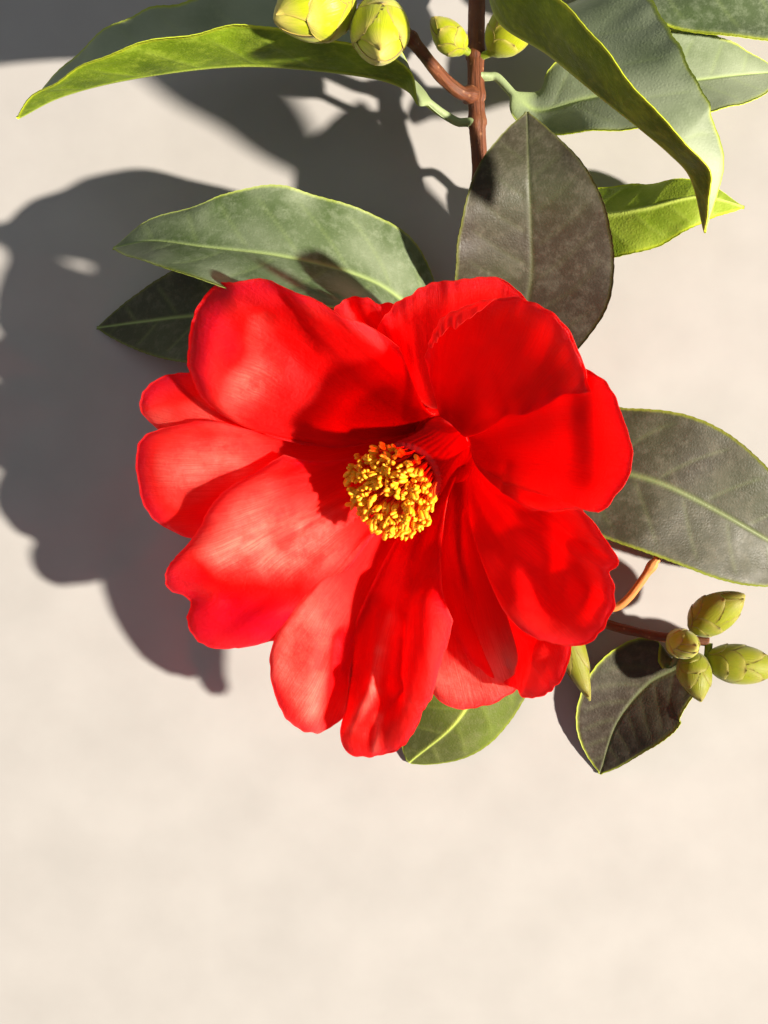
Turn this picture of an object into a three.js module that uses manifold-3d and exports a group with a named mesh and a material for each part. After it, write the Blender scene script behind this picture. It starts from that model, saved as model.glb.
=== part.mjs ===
// A cut camellia spray with one large open bloom, lying on a flat surface.
// Millimetres, +Z up. The origin is under the middle of the spray, on the surface it lies on.
import * as THREE from 'three';
import Module from 'manifold-3d';

const wasm = await Module();
wasm.setup();

// Drawing sheet: plan positions are laid out as they look from straight above,
// so a point that is higher is drawn further from the middle.
const EYE_HEIGHT = 305;
const SHEET_HEIGHT = 45;
// From the sheet's middle to the middle of the spray.
const SHIFT = { x: 16.2, y: 39.1, z: 0.34 };

// Bloom
const BLOOM_BASE = new THREE.Vector3(14.5, 15.8, 24);
const BLOOM_TILT = 38;
const BLOOM_HEADING = 222;
const PETAL_THICKNESS = 1.0;
const CLAW_RING = 9.2;
const CLAW_RING_STEP = 0.65;
const CLAW_FOOT_STEP = 0.9;
const CLAW_SHARE = 0.5;
const COLUMN_LENGTH = 22;
const COLUMN_FOOT_RADIUS = 4.6;
const COLUMN_TOP_RADIUS = 7.0;
const ANTHER_RADIUS = 10;
const ANTHER_HEIGHT = 12;
const RECEPTACLE_RADIUS = 9.6;
const CALYX_LENGTH = 10;
const CALYX_RADIUS = 8.6;

// Foliage and wood
const LEAF_THICKNESS = 1.0;
const STALK_RADIUS = 1.0;
const SEAT_GAP = 0.35;
const STALK_RISE = 2.2;
const SPUR_RADIUS = 1.6;

const rad = THREE.MathUtils.degToRad;
const AXIS = new THREE.Vector3(
  Math.sin(rad(BLOOM_TILT)) * Math.cos(rad(BLOOM_HEADING)),
  Math.sin(rad(BLOOM_TILT)) * Math.sin(rad(BLOOM_HEADING)),
  Math.cos(rad(BLOOM_TILT)),
);

function sheet(u, v, z) {
  const k = (EYE_HEIGHT - z) / (EYE_HEIGHT - SHEET_HEIGHT);
  return new THREE.Vector3(u * k, v * k, z);
}

// Petals from the inside out: the rim's stations (across, up, height) run from right to left
// round the bloom. lean is the rise at the rim, in degrees from the plane across the bloom;
// rise is how far the claw stands up before it spreads, as a share of the length.
const PETALS = [
  {
    layer: 4,
    lean: 35,
    rim: [
      [41.2, 24, 73], [40, 30, 76], [35.6, 38, 79], [27.2, 42.2, 76], [18.8, 41.8, 68],
      [11.6, 37.4, 59], [8, 30, 48],
    ],
  },
  {
    layer: 2,
    lean: 30,
    rim: [
      [30, 38, 56], [23.6, 46.2, 58], [18.8, 47, 58], [13.2, 46, 57], [7.2, 44.2, 54],
      [2.6, 41.6, 50], [-2, 35, 45],
    ],
  },
  {
    layer: 1,
    lean: 20,
    rim: [
      [5, 36, 46], [1.2, 40.8, 48], [-1.8, 40.8, 48], [-6.4, 42.8, 48], [-9.2, 41.2, 48],
      [-13, 36, 44],
    ],
  },
  {
    layer: 3,
    lean: 35,
    rim: [
      [29, 0, 60], [40.2, 0.6, 78], [43.8, 0.2, 83], [46.2, 4, 85], [49, 12.4, 83],
      [48.4, 18.4, 81], [44.4, 24.8, 78], [35, 31, 70],
    ],
  },
  {
    layer: 2.5,
    lean: 25,
    rim: [
      [22, -13, 46], [26.2, -22.4, 53], [32.2, -25.8, 57], [40.2, -26.2, 60],
      [43.6, -23.2, 62], [45.6, -16, 64], [46.4, -10, 66], [43.2, -4.4, 68], [36, 4, 66],
    ],
  },
  {
    layer: 2,
    lean: 25,
    rise: 0.2,
    rim: [
      [10, -20, 32], [18.8, -31, 33], [25.6, -35.2, 34], [29.4, -37, 39], [34.2, -35, 49],
      [37.2, -28.6, 52], [36, -17, 52],
    ],
  },
  {
    layer: 1,
    lean: 5,
    rise: 0.22,
    rim: [
      [2, -26, 27], [8.8, -36, 29], [14.2, -39.2, 29], [20.2, -38.6, 30], [24.6, -37, 32],
      [26.4, -35.6, 34], [29.4, -30, 38], [31, -20, 40],
    ],
  },
  {
    layer: 3,
    lean: 0,
    rise: 0.24,
    rim: [
      [-9, -32, 29], [-10, -42, 27], [-7.8, -47.6, 27], [-2.8, -49, 28], [3.6, -47, 33],
      [7.6, -40.6, 38], [10.4, -31.6, 40], [14, -22, 41],
    ],
  },
  {
    layer: 2,
    lean: 12,
    rise: 0.2,
    rim: [
      [-18, -17, 33], [-22.8, -26.6, 34], [-23, -31.6, 33], [-21.6, -38, 31],
      [-17.4, -43.4, 28], [-11.8, -44.4, 26], [-7, -40, 26], [-2, -31, 27],
    ],
  },
  {
    layer: 3,
    lean: 6,
    rise: 0.24,
    rim: [
      [-8, -14, 33], [-21.8, -25.6, 33], [-29.8, -27.4, 33], [-35.8, -26.2, 32],
      [-39.4, -22, 33], [-39.6, -18.4, 34], [-44, -16, 34], [-43.8, -12, 36.5],
      [-38.8, -5.6, 40.5], [-32.4, 3.6, 41], [-20, 11.5, 38.5],
    ],
  },
  {
    layer: 2,
    lean: 10,
    rise: 0.22,
    rim: [
      [-30, -7, 31], [-39.8, -5.6, 33], [-44.2, -3.2, 34], [-48, 1.8, 35], [-50, 9.4, 36],
      [-48.4, 15, 37], [-42.8, 17.6, 37], [-32, 18, 36],
    ],
  },
  {
    layer: 1,
    lean: 12,
    rise: 0.24,
    rim: [
      [-38, 12, 31], [-46.4, 17, 33], [-49.2, 20.4, 34], [-48.6, 23.8, 35], [-44.4, 27.2, 36],
      [-38.4, 28, 36], [-28, 27, 36],
    ],
  },
  {
    layer: 3.5,
    lean: 24,
    rise: 0.26,
    rim: [
      [-17, 13.5, 37], [-32.8, 18.4, 40], [-38.2, 24.8, 42], [-39.2, 33.4, 44],
      [-36.2, 42, 45], [-30.4, 45.8, 48], [-19.8, 44.2, 52], [-7.8, 38.8, 52], [3, 33, 48],
    ],
  },
];

// A smooth line through stations, entered at t from 0 to 1.
function through(points) {
  const curve = new THREE.CatmullRomCurve3(points, false, 'centripetal');
  return (t) => curve.getPointAt(Math.min(Math.max(t, 0), 1));
}

function across(v) {
  return v.clone().addScaledVector(AXIS, -v.dot(AXIS));
}

// The middle sheet of one petal: s runs from claw to rim, q along the rim.
function petalSheet({ rim, layer, lean, rise = 0.34 }) {
  const stations = rim.map((r) => sheet(...r));
  const edge = through(stations);
  const mean = new THREE.Vector3();
  for (const p of stations) {
    mean.addScaledVector(p, 1 / stations.length);
  }
  const middle = across(mean.sub(BLOOM_BASE)).normalize();
  const e = rad(lean);
  return (s, q) => {
    const tip = edge(q);
    const way = across(tip.clone().sub(BLOOM_BASE)).normalize();
    way.multiplyScalar(CLAW_SHARE).addScaledVector(middle, 1 - CLAW_SHARE).normalize();
    const base = BLOOM_BASE.clone();
    base.addScaledVector(way, CLAW_RING - CLAW_RING_STEP * layer);
    base.addScaledVector(AXIS, CLAW_FOOT_STEP * layer);
    const gap = tip.clone().sub(base);
    const length = gap.length();
    const out = across(gap).normalize();
    const upward = AXIS.clone().addScaledVector(out, 0.2).normalize();
    const flare = out.clone().multiplyScalar(Math.cos(e)).addScaledVector(AXIS, Math.sin(e));
    const a = base.clone().addScaledVector(upward, length * rise);
    const b = tip.clone().addScaledVector(flare, -length * 0.36);
    const r = 1 - s;
    return base
      .multiplyScalar(r * r * r)
      .addScaledVector(a, 3 * r * r * s)
      .addScaledVector(b, 3 * r * s * s)
      .addScaledVector(tip, s * s * s);
  };
}

// A closed thin body about a sheet: rows run along it, columns across it.
function blade(surface, rows, columns, thickness) {
  const middle = [];
  for (let i = 0; i <= rows; i += 1) {
    for (let j = 0; j <= columns; j += 1) {
      middle.push(surface(i / rows, j / columns));
    }
  }
  const id = (i, j) => i * (columns + 1) + j;
  const positions = [];
  for (const side of [1, -1]) {
    for (let i = 0; i <= rows; i += 1) {
      for (let j = 0; j <= columns; j += 1) {
        const along = middle[id(Math.min(i + 1, rows), j)].clone().sub(middle[id(Math.max(i - 1, 0), j)]);
        const over = middle[id(i, Math.min(j + 1, columns))].clone().sub(middle[id(i, Math.max(j - 1, 0))]);
        const normal = along.cross(over).normalize();
        const half = thickness(i / rows, j / columns) / 2;
        positions.push(...middle[id(i, j)].clone().addScaledVector(normal, side * half).toArray());
      }
    }
  }
  const far = middle.length;
  const index = [];
  const quad = (a, b, c, d) => index.push(a, b, c, a, c, d);
  for (let i = 0; i < rows; i += 1) {
    for (let j = 0; j < columns; j += 1) {
      quad(id(i, j), id(i + 1, j), id(i + 1, j + 1), id(i, j + 1));
      quad(far + id(i, j), far + id(i, j + 1), far + id(i + 1, j + 1), far + id(i + 1, j));
    }
    quad(id(i, 0), far + id(i, 0), far + id(i + 1, 0), id(i + 1, 0));
    quad(id(i + 1, columns), far + id(i + 1, columns), far + id(i, columns), id(i, columns));
  }
  for (let j = 0; j < columns; j += 1) {
    quad(id(0, j + 1), far + id(0, j + 1), far + id(0, j), id(0, j));
    quad(id(rows, j), far + id(rows, j), far + id(rows, j + 1), id(rows, j + 1));
  }
  const geometry = new THREE.BufferGeometry();
  geometry.setAttribute('position', new THREE.Float32BufferAttribute(positions, 3));
  geometry.setIndex(index);
  return geometry;
}

// A closed round body along a line; the radius follows its place on the line.
function limb(line, radius, rings, sides) {
  const positions = [];
  const index = [];
  const start = line(0);
  positions.push(...start.toArray());
  let side = new THREE.Vector3(0, 0, 1);
  for (let i = 0; i <= rings; i += 1) {
    const t = i / rings;
    const along = line(Math.min(t + 0.01, 1)).sub(line(Math.max(t - 0.01, 0))).normalize();
    side = side.clone().addScaledVector(along, -side.dot(along)).normalize();
    const other = along.clone().cross(side);
    const centre = line(t);
    for (let k = 0; k < sides; k += 1) {
      const a = (k / sides) * 2 * Math.PI;
      const p = centre.clone();
      p.addScaledVector(side, Math.cos(a) * radius(t));
      p.addScaledVector(other, Math.sin(a) * radius(t));
      positions.push(...p.toArray());
    }
  }
  positions.push(...line(1).toArray());
  const last = 1 + (rings + 1) * sides;
  for (let k = 0; k < sides; k += 1) {
    const n = (k + 1) % sides;
    index.push(0, 1 + n, 1 + k);
    for (let i = 0; i < rings; i += 1) {
      const a = 1 + i * sides;
      index.push(a + k, a + n, a + sides + n, a + k, a + sides + n, a + sides + k);
    }
    index.push(last, last - sides + k, last - sides + n);
  }
  const geometry = new THREE.BufferGeometry();
  geometry.setAttribute('position', new THREE.Float32BufferAttribute(positions, 3));
  geometry.setIndex(index);
  return geometry;
}

// A turned body about the bloom's axis: stations of [distance along the axis, radius].
function turned(stations, sides) {
  const at = (t) => stations[Math.round(t * (stations.length - 1))];
  const line = (t) => BLOOM_BASE.clone().addScaledVector(AXIS, at(t)[0]);
  const radius = (t) => at(t)[1];
  const positions = [];
  const index = [];
  const out = across(new THREE.Vector3(1, 0, 0)).normalize();
  const other = AXIS.clone().cross(out);
  positions.push(...line(0).toArray());
  for (let i = 0; i < stations.length; i += 1) {
    const t = i / (stations.length - 1);
    for (let k = 0; k < sides; k += 1) {
      const a = (k / sides) * 2 * Math.PI;
      const p = line(t);
      p.addScaledVector(out, Math.cos(a) * radius(t));
      p.addScaledVector(other, Math.sin(a) * radius(t));
      positions.push(...p.toArray());
    }
  }
  positions.push(...line(1).toArray());
  const last = 1 + stations.length * sides;
  for (let k = 0; k < sides; k += 1) {
    const n = (k + 1) % sides;
    index.push(0, 1 + n, 1 + k);
    for (let i = 0; i < stations.length - 1; i += 1) {
      const a = 1 + i * sides;
      index.push(a + k, a + n, a + sides + n, a + k, a + sides + n, a + sides + k);
    }
    index.push(last, last - sides + k, last - sides + n);
  }
  const geometry = new THREE.BufferGeometry();
  geometry.setAttribute('position', new THREE.Float32BufferAttribute(positions, 3));
  geometry.setIndex(index);
  return geometry;
}

function solidOf(geometry) {
  return new wasm.Manifold(
    new wasm.Mesh({
      numProp: 3,
      vertProperties: Float32Array.from(geometry.getAttribute('position').array),
      triVerts: Uint32Array.from(geometry.getIndex().array),
    }),
  );
}

function geometryOf(solid) {
  const mesh = solid.getMesh();
  const geometry = new THREE.BufferGeometry();
  geometry.setAttribute('position', new THREE.Float32BufferAttribute(mesh.vertProperties, 3));
  geometry.setIndex(Array.from(mesh.triVerts));
  return geometry;
}

// The corolla: all petals grown together at the receptacle, as one body.
function corolla() {
  const R = RECEPTACLE_RADIUS;
  let body = solidOf(turned([[-3.2, 4.5], [-2, 7.5], [0.5, R], [4.4, R - 0.6], [4.4, 5.2], [3, 4.8]], 20));
  for (const petal of PETALS) {
    const middle = petalSheet(petal);
    const thickness = (s, q) => PETAL_THICKNESS * (1.2 - 0.5 * s);
    body = body.add(solidOf(blade((s, q) => middle(0.03 + 0.97 * s, q), 6, 7, thickness)));
  }
  const parts = body.decompose().sort((a, b) => b.volume() - a.volume());
  return geometryOf(parts[0]);
}

// Wood: each limb's line and radius, kept so that stalks can be seated on it.
const wood = {};
function branch(name, stations, thick, thin) {
  const line = through(stations);
  wood[name] = { line, radius: (t) => thick + (thin - thick) * t };
  return wood[name];
}

// A stalk's first stations: square off a limb at t, one seat gap from its bark.
function seat(name, t, towards, spare = 0) {
  const { line, radius } = wood[name];
  const p = line(t);
  const along = line(Math.min(t + 0.01, 1)).sub(line(Math.max(t - 0.01, 0))).normalize();
  const out = towards.clone().sub(p);
  out.addScaledVector(along, -out.dot(along)).normalize();
  const foot = p.addScaledVector(out, radius(t) + SEAT_GAP + spare);
  return [0, 0.5, 1].map((k) => foot.clone().addScaledVector(out, k * STALK_RISE));
}

branch(
  'main_stem',
  [
    [19, 119, 2.2], [18.6, 103, 11], [18.4, 84, 16], [19.4, 66, 13],
    [21.5, 44, 9], [23, 27, 7.5], [24, 14, 7],
  ].map((p) => sheet(...p)),
  2.0,
  1.5,
);
const spurTop = BLOOM_BASE.clone().addScaledVector(AXIS, -3.5 - CALYX_LENGTH - SEAT_GAP);
branch(
  'bloom_stalk',
  [...seat('main_stem', 0.93, spurTop), spurTop.clone().addScaledVector(AXIS, -1.5), spurTop],
  SPUR_RADIUS,
  2.2,
);
branch(
  'side_twig',
  [
    ...seat('main_stem', 0.385, sheet(12.6, 88, 21)),
    sheet(12.6, 86, 21),
    sheet(5.6, 94.4, 32),
    sheet(-0.8, 102, 44),
    sheet(-4.5, 107, 51),
  ],
  1.5,
  1.1,
);
branch(
  'lower_twig',
  [
    ...seat('main_stem', 0.97, sheet(36, 0, 7)),
    sheet(32, -6, 7),
    sheet(40, -20, 8),
    sheet(53, -24.5, 10),
    sheet(65, -26, 12),
  ],
  1.4,
  1.0,
);
branch(
  'young_twig',
  [
    ...seat('lower_twig', 0.42, sheet(45.6, -19.2, 9)),
    sheet(45.6, -19.2, 9.5),
    sheet(55.6, -8.2, 11),
    sheet(62, -1.5, 10),
  ],
  1.0,
  0.8,
);

const LEAVES = {
  leaf_arching: {
    on: ['main_stem', 0.12, 0.3],
    line: [
      [23.2, 98.8, 38], [33.2, 91.6, 53], [42.6, 84, 63], [51.2, 77, 68], [57.2, 71.8, 69],
      [61.2, 67.4, 67], [64.4, 56, 60],
    ],
    width: 22,
    fold: 32,
    curve: 22,
    roll: -48,
  },
  leaf_upper_left: {
    on: ['main_stem', 0.43],
    line: [
      [12.2, 79.4, 18], [3.2, 85.6, 23], [-6.8, 88, 27], [-26.8, 89.4, 31], [-46.8, 87.6, 35],
      [-64.8, 83.2, 32], [-73.2, 78.8, 27],
    ],
    width: 19,
    fold: 26,
    curve: 20,
    roll: 56,
  },
  leaf_left: {
    on: ['main_stem', 0.8],
    line: [
      [12, 36, 13], [-2, 46, 25], [-20.8, 51, 33], [-36.8, 53, 33], [-46.8, 54, 29],
      [-54.2, 52.8, 25],
    ],
    width: 18,
    fold: 10,
    curve: 10,
    roll: 38,
  },
  leaf_far_left: {
    on: ['main_stem', 0.9],
    line: [
      [8, 27, 9], [-8, 35, 15], [-24, 39.4, 18], [-40, 39, 11], [-57.4, 36.8, 0.8],
    ],
    width: 16,
    fold: 10,
    curve: 8,
    roll: 15,
  },
  leaf_behind: {
    on: ['main_stem', 0.68],
    line: [
      [27, 38, 13], [29.4, 46, 19], [29.4, 56, 25], [29, 67, 30], [28.6, 80, 29],
    ],
    width: 18,
    fold: 8,
    curve: 6,
    roll: 0,
  },
  leaf_right: {
    on: ['main_stem', 0.86],
    line: [
      [34, 14, 10], [43, 9.4, 13], [56.2, 5.4, 15], [76.8, -5.6, 10], [90, -14, 0.8],
    ],
    width: 16,
    fold: 6,
    curve: 6,
    roll: 0,
  },
  leaf_below: {
    on: ['lower_twig', 0.25],
    line: [
      [24, -14, 12.5], [21.5, -28, 14], [15, -41, 10], [5, -50, 1.2],
    ],
    blunt: 0.6,
    width: 13,
    fold: 8,
    curve: 8,
    roll: 165,
  },
  leaf_lower_right: {
    on: ['lower_twig', 0.9],
    line: [
      [59.6, -30.4, 6.5], [53, -34.4, 5], [46.8, -42, 4], [43.2, -52.4, 1.0],
    ],
    width: 12,
    fold: 12,
    curve: 12,
    roll: 15,
  },
  leaf_upper_right: {
    on: ['main_stem', 0.35],
    line: [
      [30, 80.4, 17], [40, 82.5, 21], [54, 85, 23], [68, 87, 19], [80, 88, 10],
    ],
    width: 13,
    fold: 14,
    curve: 8,
    roll: -20,
  },
  leaf_inner_right: {
    on: ['main_stem', 0.53],
    line: [
      [28, 60, 9], [41, 59, 12], [52, 60.5, 17], [63.2, 62.8, 19], [72, 61, 16],
    ],
    width: 10,
    fold: 12,
    curve: 8,
    roll: 155,
  },
  leaf_top_right: {
    on: ['main_stem', 0.06],
    line: [
      [30, 113, 12], [48, 111, 21], [66, 107, 24], [82, 103, 20], [97, 98, 8],
    ],
    width: 14,
    fold: 8,
    curve: 6,
    roll: 0,
  },
};

// Leaf outline: half the width at t, as a share of the fullest; a lower blunt gives a rounder tip.
function leafOutline(t, blunt) {
  const best = 0.72 / (0.72 + blunt);
  const fullest = Math.pow(best, 0.72) * Math.pow(1 - best, blunt);
  return (Math.pow(t, 0.72) * Math.pow(1 - t, blunt)) / fullest;
}

const STALK_SHARE = 0.1;

function leafBody({ on, line, width, fold, curve, roll, blunt = 0.92 }) {
  const stations = line.map((p) => sheet(...p));
  const spine = through([...seat(on[0], on[1], stations[0], on[2]), ...stations]);
  const up = new THREE.Vector3(0, 0, 1);
  const phi = rad(fold);
  const bend = rad(curve) / width;
  const surface = (t, q) => {
    const along = spine(Math.min(t + 0.01, 1)).sub(spine(Math.max(t - 0.01, 0))).normalize();
    const n0 = up.clone().addScaledVector(along, -up.dot(along)).normalize();
    const s0 = along.clone().cross(n0);
    const r = rad(roll) * Math.min(1, t / 0.14);
    const n = n0.clone().multiplyScalar(Math.cos(r)).addScaledVector(s0, Math.sin(r));
    const s = s0.clone().multiplyScalar(Math.cos(r)).addScaledVector(n0, -Math.sin(r));
    const blades = Math.max(0, (t - STALK_SHARE) / (1 - STALK_SHARE));
    const half = Math.max(width * leafOutline(Math.min(blades, 0.995), blunt), STALK_RADIUS * (1 - 0.55 * t));
    const w = 2 * q - 1;
    const x = half * Math.abs(w);
    const side = (Math.sin(phi + bend * x) - Math.sin(phi)) / bend;
    const lift = (Math.cos(phi) - Math.cos(phi + bend * x)) / bend;
    return spine(t).addScaledVector(s, Math.sign(w) * side).addScaledVector(n, lift);
  };
  const thickness = (t, q) => LEAF_THICKNESS * (1.25 - 0.5 * t) * (1 - 0.25 * Math.abs(2 * q - 1));
  return blade(surface, 11, 4, thickness);
}

// Buds: a pointed egg from its seat to its tip.
const BUDS = {
  bud_front_right: { on: ['side_twig', 0.86], tip: [-0.8, 91, 61], radius: 5.5 },
  bud_front_left: { on: ['side_twig', 0.99], tip: [-22, 98.5, 57], radius: 6.8 },
  bud_behind_left: { on: ['main_stem', 0.31], tip: [9.5, 99, 21], radius: 3.2 },
  bud_behind_right: { on: ['main_stem', 0.315], tip: [30.6, 104, 22], radius: 4.7 },
  bud_cluster_top: { on: ['lower_twig', 0.95], tip: [72.2, -16.6, 21], radius: 4.2 },
  bud_cluster_left: { on: ['lower_twig', 0.9], tip: [62.6, -27.4, 24], radius: 3.0 },
  bud_cluster_low: { on: ['lower_twig', 0.95], tip: [63.4, -38, 16.5], radius: 3.6 },
  bud_cluster_right: { on: ['lower_twig', 1.0], tip: [80, -31.5, 15], radius: 4.2 },
  bud_under_bloom: { on: ['lower_twig', 0.48], tip: [41.2, -37.8, 13], radius: 3.5 },
};

const NECK_SHARE = 0.1;

function budBody({ on, tip, radius }) {
  const end = sheet(...tip);
  const line = through([...seat(on[0], on[1], end), end]);
  const profile = (t) => {
    const egg = Math.min(Math.max((t - NECK_SHARE) / (1 - NECK_SHARE), 0), 0.995);
    const body = radius * Math.pow(Math.sin(Math.PI * Math.pow(egg, 0.8)), 0.7);
    return Math.max(body, 0.9 * (1 - t) + 0.25 * t);
  };
  return limb(line, profile, 9, 10);
}

const material = (color, roughness) => new THREE.MeshStandardMaterial({ color, roughness, metalness: 0 });
const spray = new THREE.Group();
function add(name, geometry, look) {
  const mesh = new THREE.Mesh(geometry, look);
  mesh.name = name;
  mesh.position.set(-SHIFT.x, -SHIFT.y, -SHIFT.z);
  spray.add(mesh);
}

for (const [name, { line, radius }] of Object.entries(wood)) {
  const colour = name === 'young_twig' ? 0xc8824a : 0x8a4f3a;
  add(name, limb(line, radius, name === 'main_stem' ? 16 : 8, 10), material(colour, 0.7));
}
add('petals', corolla(), material(0xd80f12, 0.5));
const L = COLUMN_LENGTH;
add(
  'stamens',
  turned(
    [
      [4.8, COLUMN_FOOT_RADIUS],
      [L * 0.55, COLUMN_FOOT_RADIUS + 0.6],
      [L, COLUMN_TOP_RADIUS],
      [L + ANTHER_HEIGHT * 0.35, ANTHER_RADIUS],
      [L + ANTHER_HEIGHT * 0.75, ANTHER_RADIUS * 0.9],
      [L + ANTHER_HEIGHT, ANTHER_RADIUS * 0.55],
      [L + ANTHER_HEIGHT * 0.8, ANTHER_RADIUS * 0.3],
    ],
    16,
  ),
  material(0xe0a010, 0.7),
);
add(
  'calyx',
  turned(
    [
      [-3.5 - CALYX_LENGTH, 2.6],
      [-3.5 - CALYX_LENGTH * 0.7, 6.2],
      [-3.5 - CALYX_LENGTH * 0.3, CALYX_RADIUS],
      [-3.5, CALYX_RADIUS - 1],
    ],
    16,
  ),
  material(0x8f9a3c, 0.7),
);
for (const [name, leaf] of Object.entries(LEAVES)) {
  add(name, leafBody(leaf), material(0x4b5b33, 0.4));
}
for (const [name, bud] of Object.entries(BUDS)) {
  add(name, budBody(bud), material(0xb9c43a, 0.5));
}

export default spray;
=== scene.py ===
import math

import bpy
import numpy as np
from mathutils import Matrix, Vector


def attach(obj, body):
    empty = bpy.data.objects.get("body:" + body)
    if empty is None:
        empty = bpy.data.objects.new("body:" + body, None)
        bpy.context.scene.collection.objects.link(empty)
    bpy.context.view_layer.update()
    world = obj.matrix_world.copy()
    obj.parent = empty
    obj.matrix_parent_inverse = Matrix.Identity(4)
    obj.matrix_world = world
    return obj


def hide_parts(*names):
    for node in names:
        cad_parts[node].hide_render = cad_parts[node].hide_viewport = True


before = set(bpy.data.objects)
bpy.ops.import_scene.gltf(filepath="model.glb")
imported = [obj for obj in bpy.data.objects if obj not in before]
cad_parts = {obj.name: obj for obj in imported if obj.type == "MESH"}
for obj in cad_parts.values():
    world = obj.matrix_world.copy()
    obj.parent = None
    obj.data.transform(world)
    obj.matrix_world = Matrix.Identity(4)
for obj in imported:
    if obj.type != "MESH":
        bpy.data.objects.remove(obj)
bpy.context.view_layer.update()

# Sizes, in millimetres and degrees, as the CAD model has them
MM = 0.001
EYE_HEIGHT = 305.0
SHEET_HEIGHT = 45.0
SHIFT = np.array([16.2, 39.1, 0.34])
BLOOM_BASE = np.array([14.5, 15.8, 24.0])
BLOOM_TILT = 38.0
BLOOM_HEADING = 222.0
CLAW_RING = 9.2
CLAW_RING_STEP = 0.65
CLAW_FOOT_STEP = 0.9
CLAW_SHARE = 0.78
SEAT_GAP = 0.35
STALK_RISE = 2.2
STALK_SHARE = 0.1
CALYX_LENGTH = 10.0
CALYX_TOP = 3.5

# Sizes, angles in radians, counts and directions of the fine surface
STALK_HALF = 0.95
FLAP_RADIUS = 0.8
FLAP_TURN = 2.6
LIMB_SIDES = 30
HEAD_COUNT = 185
TUBE_LENGTH = 21.5
TUBE_RIBS = 34
GOLDEN_ANGLE = 2.39996
ODD_WAY = np.array([0.31, 0.17, 0.93])
UP = np.array([0.0, 0.0, 1.0])


# Small tools
def hexcolor(text):
    """Linear colour of an sRGB hex."""
    c = np.array([int(text[i:i + 2], 16) for i in (1, 3, 5)]) / 255
    lin = np.where(c <= 0.04045, c / 12.92, ((c + 0.055) / 1.055) ** 2.4)
    return (*[float(x) for x in lin], 1.0)


def unit(v):
    """Vectors scaled to length 1."""
    return v / np.maximum(np.linalg.norm(v, axis=-1, keepdims=True), 1e-9)


def step(a, b, x):
    """A smooth rise from 0 to 1 as x goes from a to b."""
    t = np.clip((x - a) / (b - a), 0, 1)
    return t * t * (3 - 2 * t)


def sheet(u, v, z):
    """A point at height z that looks, from straight above, to be at (u, v) on the drawing sheet."""
    k = (EYE_HEIGHT - z) / (EYE_HEIGHT - SHEET_HEIGHT)
    return np.array([u * k, v * k, z])


def sheets(places):
    """The points of several places on the sheet."""
    return [sheet(*p) for p in places]


def through(points):
    """A smooth line through points, entered by its share of the length."""
    P = np.asarray(points, float)
    P = np.vstack([2 * P[0] - P[1], P, 2 * P[-1] - P[-2]])
    d = np.maximum(np.linalg.norm(np.diff(P, axis=0), axis=1), 1e-4) ** 0.5
    dense = []
    for i in range(1, len(P) - 2):
        a, b, c, e = P[i - 1:i + 3]
        before, here, after = d[i - 1:i + 2]
        t1 = ((b - a) / before - (c - a) / (before + here) + (c - b) / here) * here
        t2 = ((c - b) / here - (e - b) / (here + after) + (e - c) / after) * here
        x = np.linspace(0, 1, 61)[:-1, None]
        h = 2 * x**3 - 3 * x**2
        dense.append((h + 1) * b + (x**3 - 2 * x**2 + x) * t1 - h * c + (x**3 - x**2) * t2)
    dense = np.vstack(dense + [P[-2:-1]])
    run = np.concatenate([[0], np.cumsum(np.linalg.norm(np.diff(dense, axis=0), axis=1))])
    first = unit(dense[1] - dense[0])

    def line(t):
        at = np.clip(t, 0, 1) * run[-1]
        on = np.stack([np.interp(at, run, dense[:, k]) for k in range(3)], -1)
        return on + np.minimum(np.asarray(t), 0)[..., None] * run[-1] * first

    line.length = float(run[-1])
    return line


def along(line, t):
    """The way a line runs at t."""
    return unit(line(np.minimum(t + 0.01, 1)) - line(np.maximum(t - 0.01, 0)))


def waves(x, y, seed, scale, count=7):
    """Soft unevenness of about 1 either way, from waves in many directions; scale is its grain in mm."""
    rng = np.random.default_rng(seed)
    total = 0
    for _ in range(count):
        a = rng.uniform(0, math.tau)
        k = math.tau / (scale * rng.uniform(0.7, 1.6))
        total = total + np.sin(k * (x * math.cos(a) + y * math.sin(a)) + rng.uniform(0, math.tau))
    return total / math.sqrt(count)


def twice(values):
    """Values of a thin body's front points, then the same for its back points."""
    return np.concatenate([values.ravel()] * 2)


def make(name, points, faces, materials, uv=None, extras=None, face_material=None):
    """A mesh piece from points in the drawing's millimetres, with a UV and float attributes per point."""
    mesh = bpy.data.meshes.new(name)
    mesh.from_pydata(((points - SHIFT) * MM).tolist(), [], faces)
    mesh.polygons.foreach_set("use_smooth", [True] * len(mesh.polygons))
    for m in materials:
        mesh.materials.append(m)
    if face_material is not None:
        mesh.polygons.foreach_set("material_index", face_material)
    if uv is not None:
        layer = mesh.uv_layers.new(name="Grain")
        where = np.zeros(len(mesh.loops), int)
        mesh.loops.foreach_get("vertex_index", where)
        layer.data.foreach_set("uv", np.asarray(uv, np.float32)[where].ravel())
    for key, values in (extras or {}).items():
        a = mesh.attributes.new(key, "FLOAT", "POINT")
        a.data.foreach_set("value", np.asarray(values, np.float32))
    mesh.update()
    obj = bpy.data.objects.new(name, mesh)
    bpy.context.scene.collection.objects.link(obj)
    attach(obj, "root")
    return obj


def closed_sheet(n, m):
    """Front, back and side faces of a thin body, which has n by m front points and then its back points."""
    i = np.arange(n * m).reshape(n, m)
    a, b, c, d = i[:-1, :-1].ravel(), i[1:, :-1].ravel(), i[1:, 1:].ravel(), i[:-1, 1:].ravel()
    far = n * m
    rim = np.concatenate([i[0, ::-1], i[1:, 0], i[-1, 1:], i[-2:0:-1, -1]])
    after = np.roll(rim, -1)
    front = np.stack([a, b, c, d], 1)
    back = np.stack([far + a, far + d, far + c, far + b], 1)
    return front, back, np.stack([after, after + far, rim + far, rim], 1)


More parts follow.
